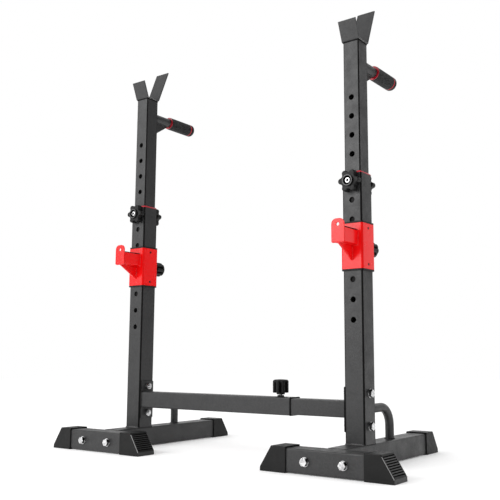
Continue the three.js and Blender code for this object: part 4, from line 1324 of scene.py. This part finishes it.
def add_hook(side, stand, body):
    low, high = box_of(f"hook_liner_top_{side}")
    bottom = box_of(f"hook_liner_bottom_{side}")[0].z
    length = high.z - bottom - 2 * (LINER_RIM + SEAM)
    width = high.x - low.x - 2 * LINER_PIN_PROUD
    face = width / 2
    carrier = shift(stand.x, stand.y, (high.z + bottom) / 2)

    pins = [(sleeve_side, length / 2 + way * (length / 2 - LINER_PIN_SETBACK), LINER_PIN + LINER_PIN_PLAY)
            for sleeve_side in LEFT_AND_RIGHT for way in (-1, 1)]
    hook = square_tube(width, SLEEVE_WALL, SLEEVE_CORNER, length, pins)
    hook.transform(shift(0, 0, -length / 2))
    arm = square_tube(ARM_WIDTH, ARM_WALL, ARM_CORNER, HOOK_GAP)
    merge(hook, arm, shift(0, -face, ARM_TOP - ARM_WIDTH / 2) @ turn(90, "X"))
    merge(hook, hook_plate(), shift(0, -face - HOOK_GAP, ARM_BOTTOM) @ turn(90, "X"))
    merge(hook, hook_gusset(), shift(-GUSSET_THICKNESS / 2, -face, ARM_BOTTOM) @ on_edge())
    weld_nut(hook, shift(0, face, 0) @ turn(-90, "X"))
    # The sleeve's rounded corners are painted darker red: painted shade
    _, on_corner = shaded_corner_zone(width, SLEEVE_CORNER)
    stands_for(f"bar_hook_{side}", hook, carrier, body, "hook_steel", zones=[("hook_corner_shade", on_corner)])
    piece(f"hook_weld_{side}", hook_welds(face), carrier, body, "hook_steel")

    for end, way in (("top", 1), ("bottom", -1)):
        at = carrier @ shift(0, 0, way * length / 2) @ turn(0 if way > 0 else 180, "X")
        stands_for(f"hook_liner_{end}_{side}", hook_liner(width), at, body, "black_plastic")
    outline = rounded(ARM_WIDTH - 0.4, HOOK_GAP - 2 * SEAM, PAD_CORNER)
    pad = plate(bmesh.new(), outline, PAD_THICKNESS, PAD_EASE)
    pad_place = carrier @ shift(0, -face - HOOK_GAP / 2, ARM_TOP + SEAM)
    stands_for(f"hook_pad_{side}", pad, pad_place, body, "black_plastic")
    knob_place = carrier @ shift(0, face, 0) @ turn(-90, "X")
    add_fluted_knob(f"hook_knob_{side}", (width - UPRIGHT_WIDTH) / 2 - SEAM, knob_place, f"{side}_hook_knob")


# Crossbar

# The flange's edges, painted dark as shade
def on_flange_edge(at):
    return at.z < CROSS_FLANGE_THICKNESS and (abs(at.x) > CROSS_FLANGE_WIDTH / 2 - 1
                                              or abs(at.y) > CROSS_FLANGE_HEIGHT / 2 - 1)


def add_cross_tube(node, sizes, length, place, body, nut_at=None):
    """A tube of the crossbar on its welded flange, which is at local Z = 0."""
    width, wall, corner = sizes
    tube = square_tube(width, wall, corner, length)
    flange = rounded(CROSS_FLANGE_WIDTH, CROSS_FLANGE_HEIGHT, CROSS_CORNER)
    holes = [(0, way * CROSS_BOLT_SPREAD / 2, BOLT_HOLE) for way in (-1, 1)]
    plate(tube, flange, CROSS_FLANGE_THICKNESS, FLANGE_EASE, holes)
    if nut_at:
        weld_nut(tube, shift(0, width / 2, nut_at) @ turn(-90, "X"))
    stands_for(node, tube, place, body, zones=[("tube_corner_shade", on_flange_edge)])
    bead = weld(bmesh.new(), level(rounded(width, width, corner, 3), CROSS_FLANGE_THICKNESS))
    piece(f"{node}_weld", bead, place, body)


def crossbar_collar(inner_width):
    """Z = 0 is the outer tube's end and the rim is above it."""
    bore = inner_width + COLLAR_PLAY
    insert = CROSS_WIDTH - 2 * CROSS_WALL - COLLAR_PLAY
    width = CROSS_WIDTH + 2 * COLLAR_PROUD
    rim = SEAM + COLLAR_RIM
    return square_ring([
        (insert, 2, -COLLAR_DEPTH), (insert, 2, SEAM),
        (width - 0.8, 4, SEAM), (width, 4.4, SEAM + 0.4), (width, 4.4, rim - 0.7), (width - 1.4, 4, rim),
        (bore + 0.6, 3.2, rim), (bore, 3, rim - 0.3), (bore, 3, -COLLAR_DEPTH)])


def add_crossbar():
    outer_low, outer_high = box_of("crossbar_outer")
    inner_low, inner_high = box_of("crossbar_inner")
    knob = middle("crossbar_knob")
    axis = middle("crossbar_inner")
    outer_length = outer_high.x - outer_low.x
    outer_place = shift(outer_low.x, axis.y, axis.z) @ turn(90, "Y") @ turn(90, "Z")
    add_cross_tube("crossbar_outer", (CROSS_WIDTH, CROSS_WALL, CROSS_CORNER), outer_length, outer_place,
                   "left_stand", nut_at=knob.x - outer_low.x)
    inner_width = CROSS_WIDTH - 2 * (CROSS_WALL + CROSS_PLAY)
    inner_place = shift(inner_high.x, axis.y, axis.z) @ turn(-90, "Y") @ turn(-90, "Z")
    add_cross_tube("crossbar_inner", (inner_width, CROSS_INNER_WALL, CROSS_INNER_CORNER),
                   inner_high.x - inner_low.x, inner_place, "right_stand")
    collar_place = outer_place @ shift(0, 0, outer_length)
    stands_for("crossbar_collar", crossbar_collar(inner_width), collar_place, "left_stand", "black_plastic")
    knob_place = shift(knob.x, axis.y, axis.z + CROSS_WIDTH / 2)
    add_fluted_knob("crossbar_knob", (CROSS_WIDTH - inner_width) / 2 - SEAM, knob_place, "crossbar_knob")


for side_name, inward_way in SIDES:
    upright_middle = middle(f"lower_upright_{side_name}")
    stand_body = f"{side_name}_stand"
    outer_width = add_post(side_name, upright_middle, f"{side_name}_post")
    add_feet(side_name, inward_way, upright_middle, stand_body)
    add_upright(side_name, inward_way, upright_middle, stand_body, outer_width)
    add_hook(side_name, upright_middle, f"{side_name}_hook")
    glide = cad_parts[f"post_glide_{side_name}"].data.materials
    glide.clear()
    glide.append(materials["black_plastic"])
add_crossbar()


# Floor, light and camera

def add_floor():
    outline = rounded(FLOOR_SIZE, FLOOR_SIZE, FLOOR_CORNER, LARGE_CORNER_STEPS)
    shell = skin(bmesh.new(), [level(outline, depth) for depth in FLOOR_DEPTHS])
    shell.transform(Matrix.Scale(MM, 4))
    bmesh.ops.recalc_face_normals(shell, faces=shell.faces)
    mesh = bpy.data.meshes.new("studio_floor")
    shell.to_mesh(mesh)
    shell.free()
    glow = {"Emission_Color": (1, 1, 1, 1), "Emission_Strength": FLOOR_LIFT}
    material, tree, shader = finish("pale_floor", specular=0.0, **glow)
    colour = blend(tree, grain(tree, 2, 2), grey(0.96), grey(0.98))
    rubbed = spread(tree, grain(tree, 4, 2), 0.7, 0.8)
    connect(tree, shader, colour, rubbed, bumps(tree, (grain(tree, 300, 2), 0.02 * MM)))
    mesh.materials.append(material)
    made = bpy.data.objects.new("studio_floor", mesh)
    bpy.context.scene.collection.objects.link(made)


def add_softbox():
    lamp = bpy.data.lights.new("softbox", "AREA")
    lamp.shape = "RECTANGLE"
    lamp.size, lamp.size_y = SOFTBOX_SIZE
    lamp.energy = SOFTBOX_POWER
    made = bpy.data.objects.new("softbox", lamp)
    made.location = SOFTBOX_PLACE
    aim = Vector(SOFTBOX_TARGET) - Vector(SOFTBOX_PLACE)
    made.rotation_euler = aim.to_track_quat("-Z", "Y").to_euler()
    bpy.context.scene.collection.objects.link(made)


def white_room():
    """A plain white room with flags, which only reflections see: dark beside the camera, grey on the left."""
    world = bpy.data.worlds.new("studio")
    world.use_nodes = True
    tree = world.node_tree
    place = node_of(tree, "TexCoord").outputs["Generated"]
    passed = []
    for bearing, clear, shut, least in FLAGS:
        facing = link_in_order(tree, node_of(tree, "VectorMath", operation="DOT_PRODUCT"), place)
        facing.inputs[1].default_value = (*polar(1, math.radians(bearing)), 0)
        passed.append(spread(tree, facing.outputs["Value"], 1.0, least, clear, shut))
    both = node_of(tree, "Math", operation="MULTIPLY")
    strength = link_in_order(tree, both, *passed).outputs[0]
    path = node_of(tree, "LightPath")
    for ray in ("Is Camera Ray", "Is Diffuse Ray"):
        lit = node_of(tree, "Math", operation="MAXIMUM")
        strength = link_in_order(tree, lit, strength, path.outputs[ray]).outputs[0]
    background = tree.nodes["Background"]
    background.inputs["Color"].default_value = (1, 1, 1, 1)
    tree.links.new(strength, background.inputs["Strength"])
    return world


def add_camera():
    yaw, pitch = math.radians(CAMERA_YAW), math.radians(CAMERA_PITCH)
    level_reach, rise = polar(1, pitch)
    forward = Vector((-math.sin(yaw) * level_reach, math.cos(yaw) * level_reach, rise))
    lens = bpy.data.cameras.new("photo_view")
    lens.sensor_width = CAMERA_SENSOR
    lens.lens = CAMERA_LENS
    lens.shift_x, lens.shift_y = CAMERA_SHIFT
    lens.clip_end = CAMERA_RANGE
    made = bpy.data.objects.new("photo_view", lens)
    made.location = CAMERA_PLACE
    made.rotation_euler = forward.to_track_quat("-Z", "Y").to_euler()
    bpy.context.scene.collection.objects.link(made)
    bpy.context.scene.camera = made


add_floor()
bpy.context.scene.view_settings.view_transform = "Standard"
bpy.context.scene.view_settings.look = "None"
bpy.context.scene.world = white_room()
add_softbox()
add_camera()
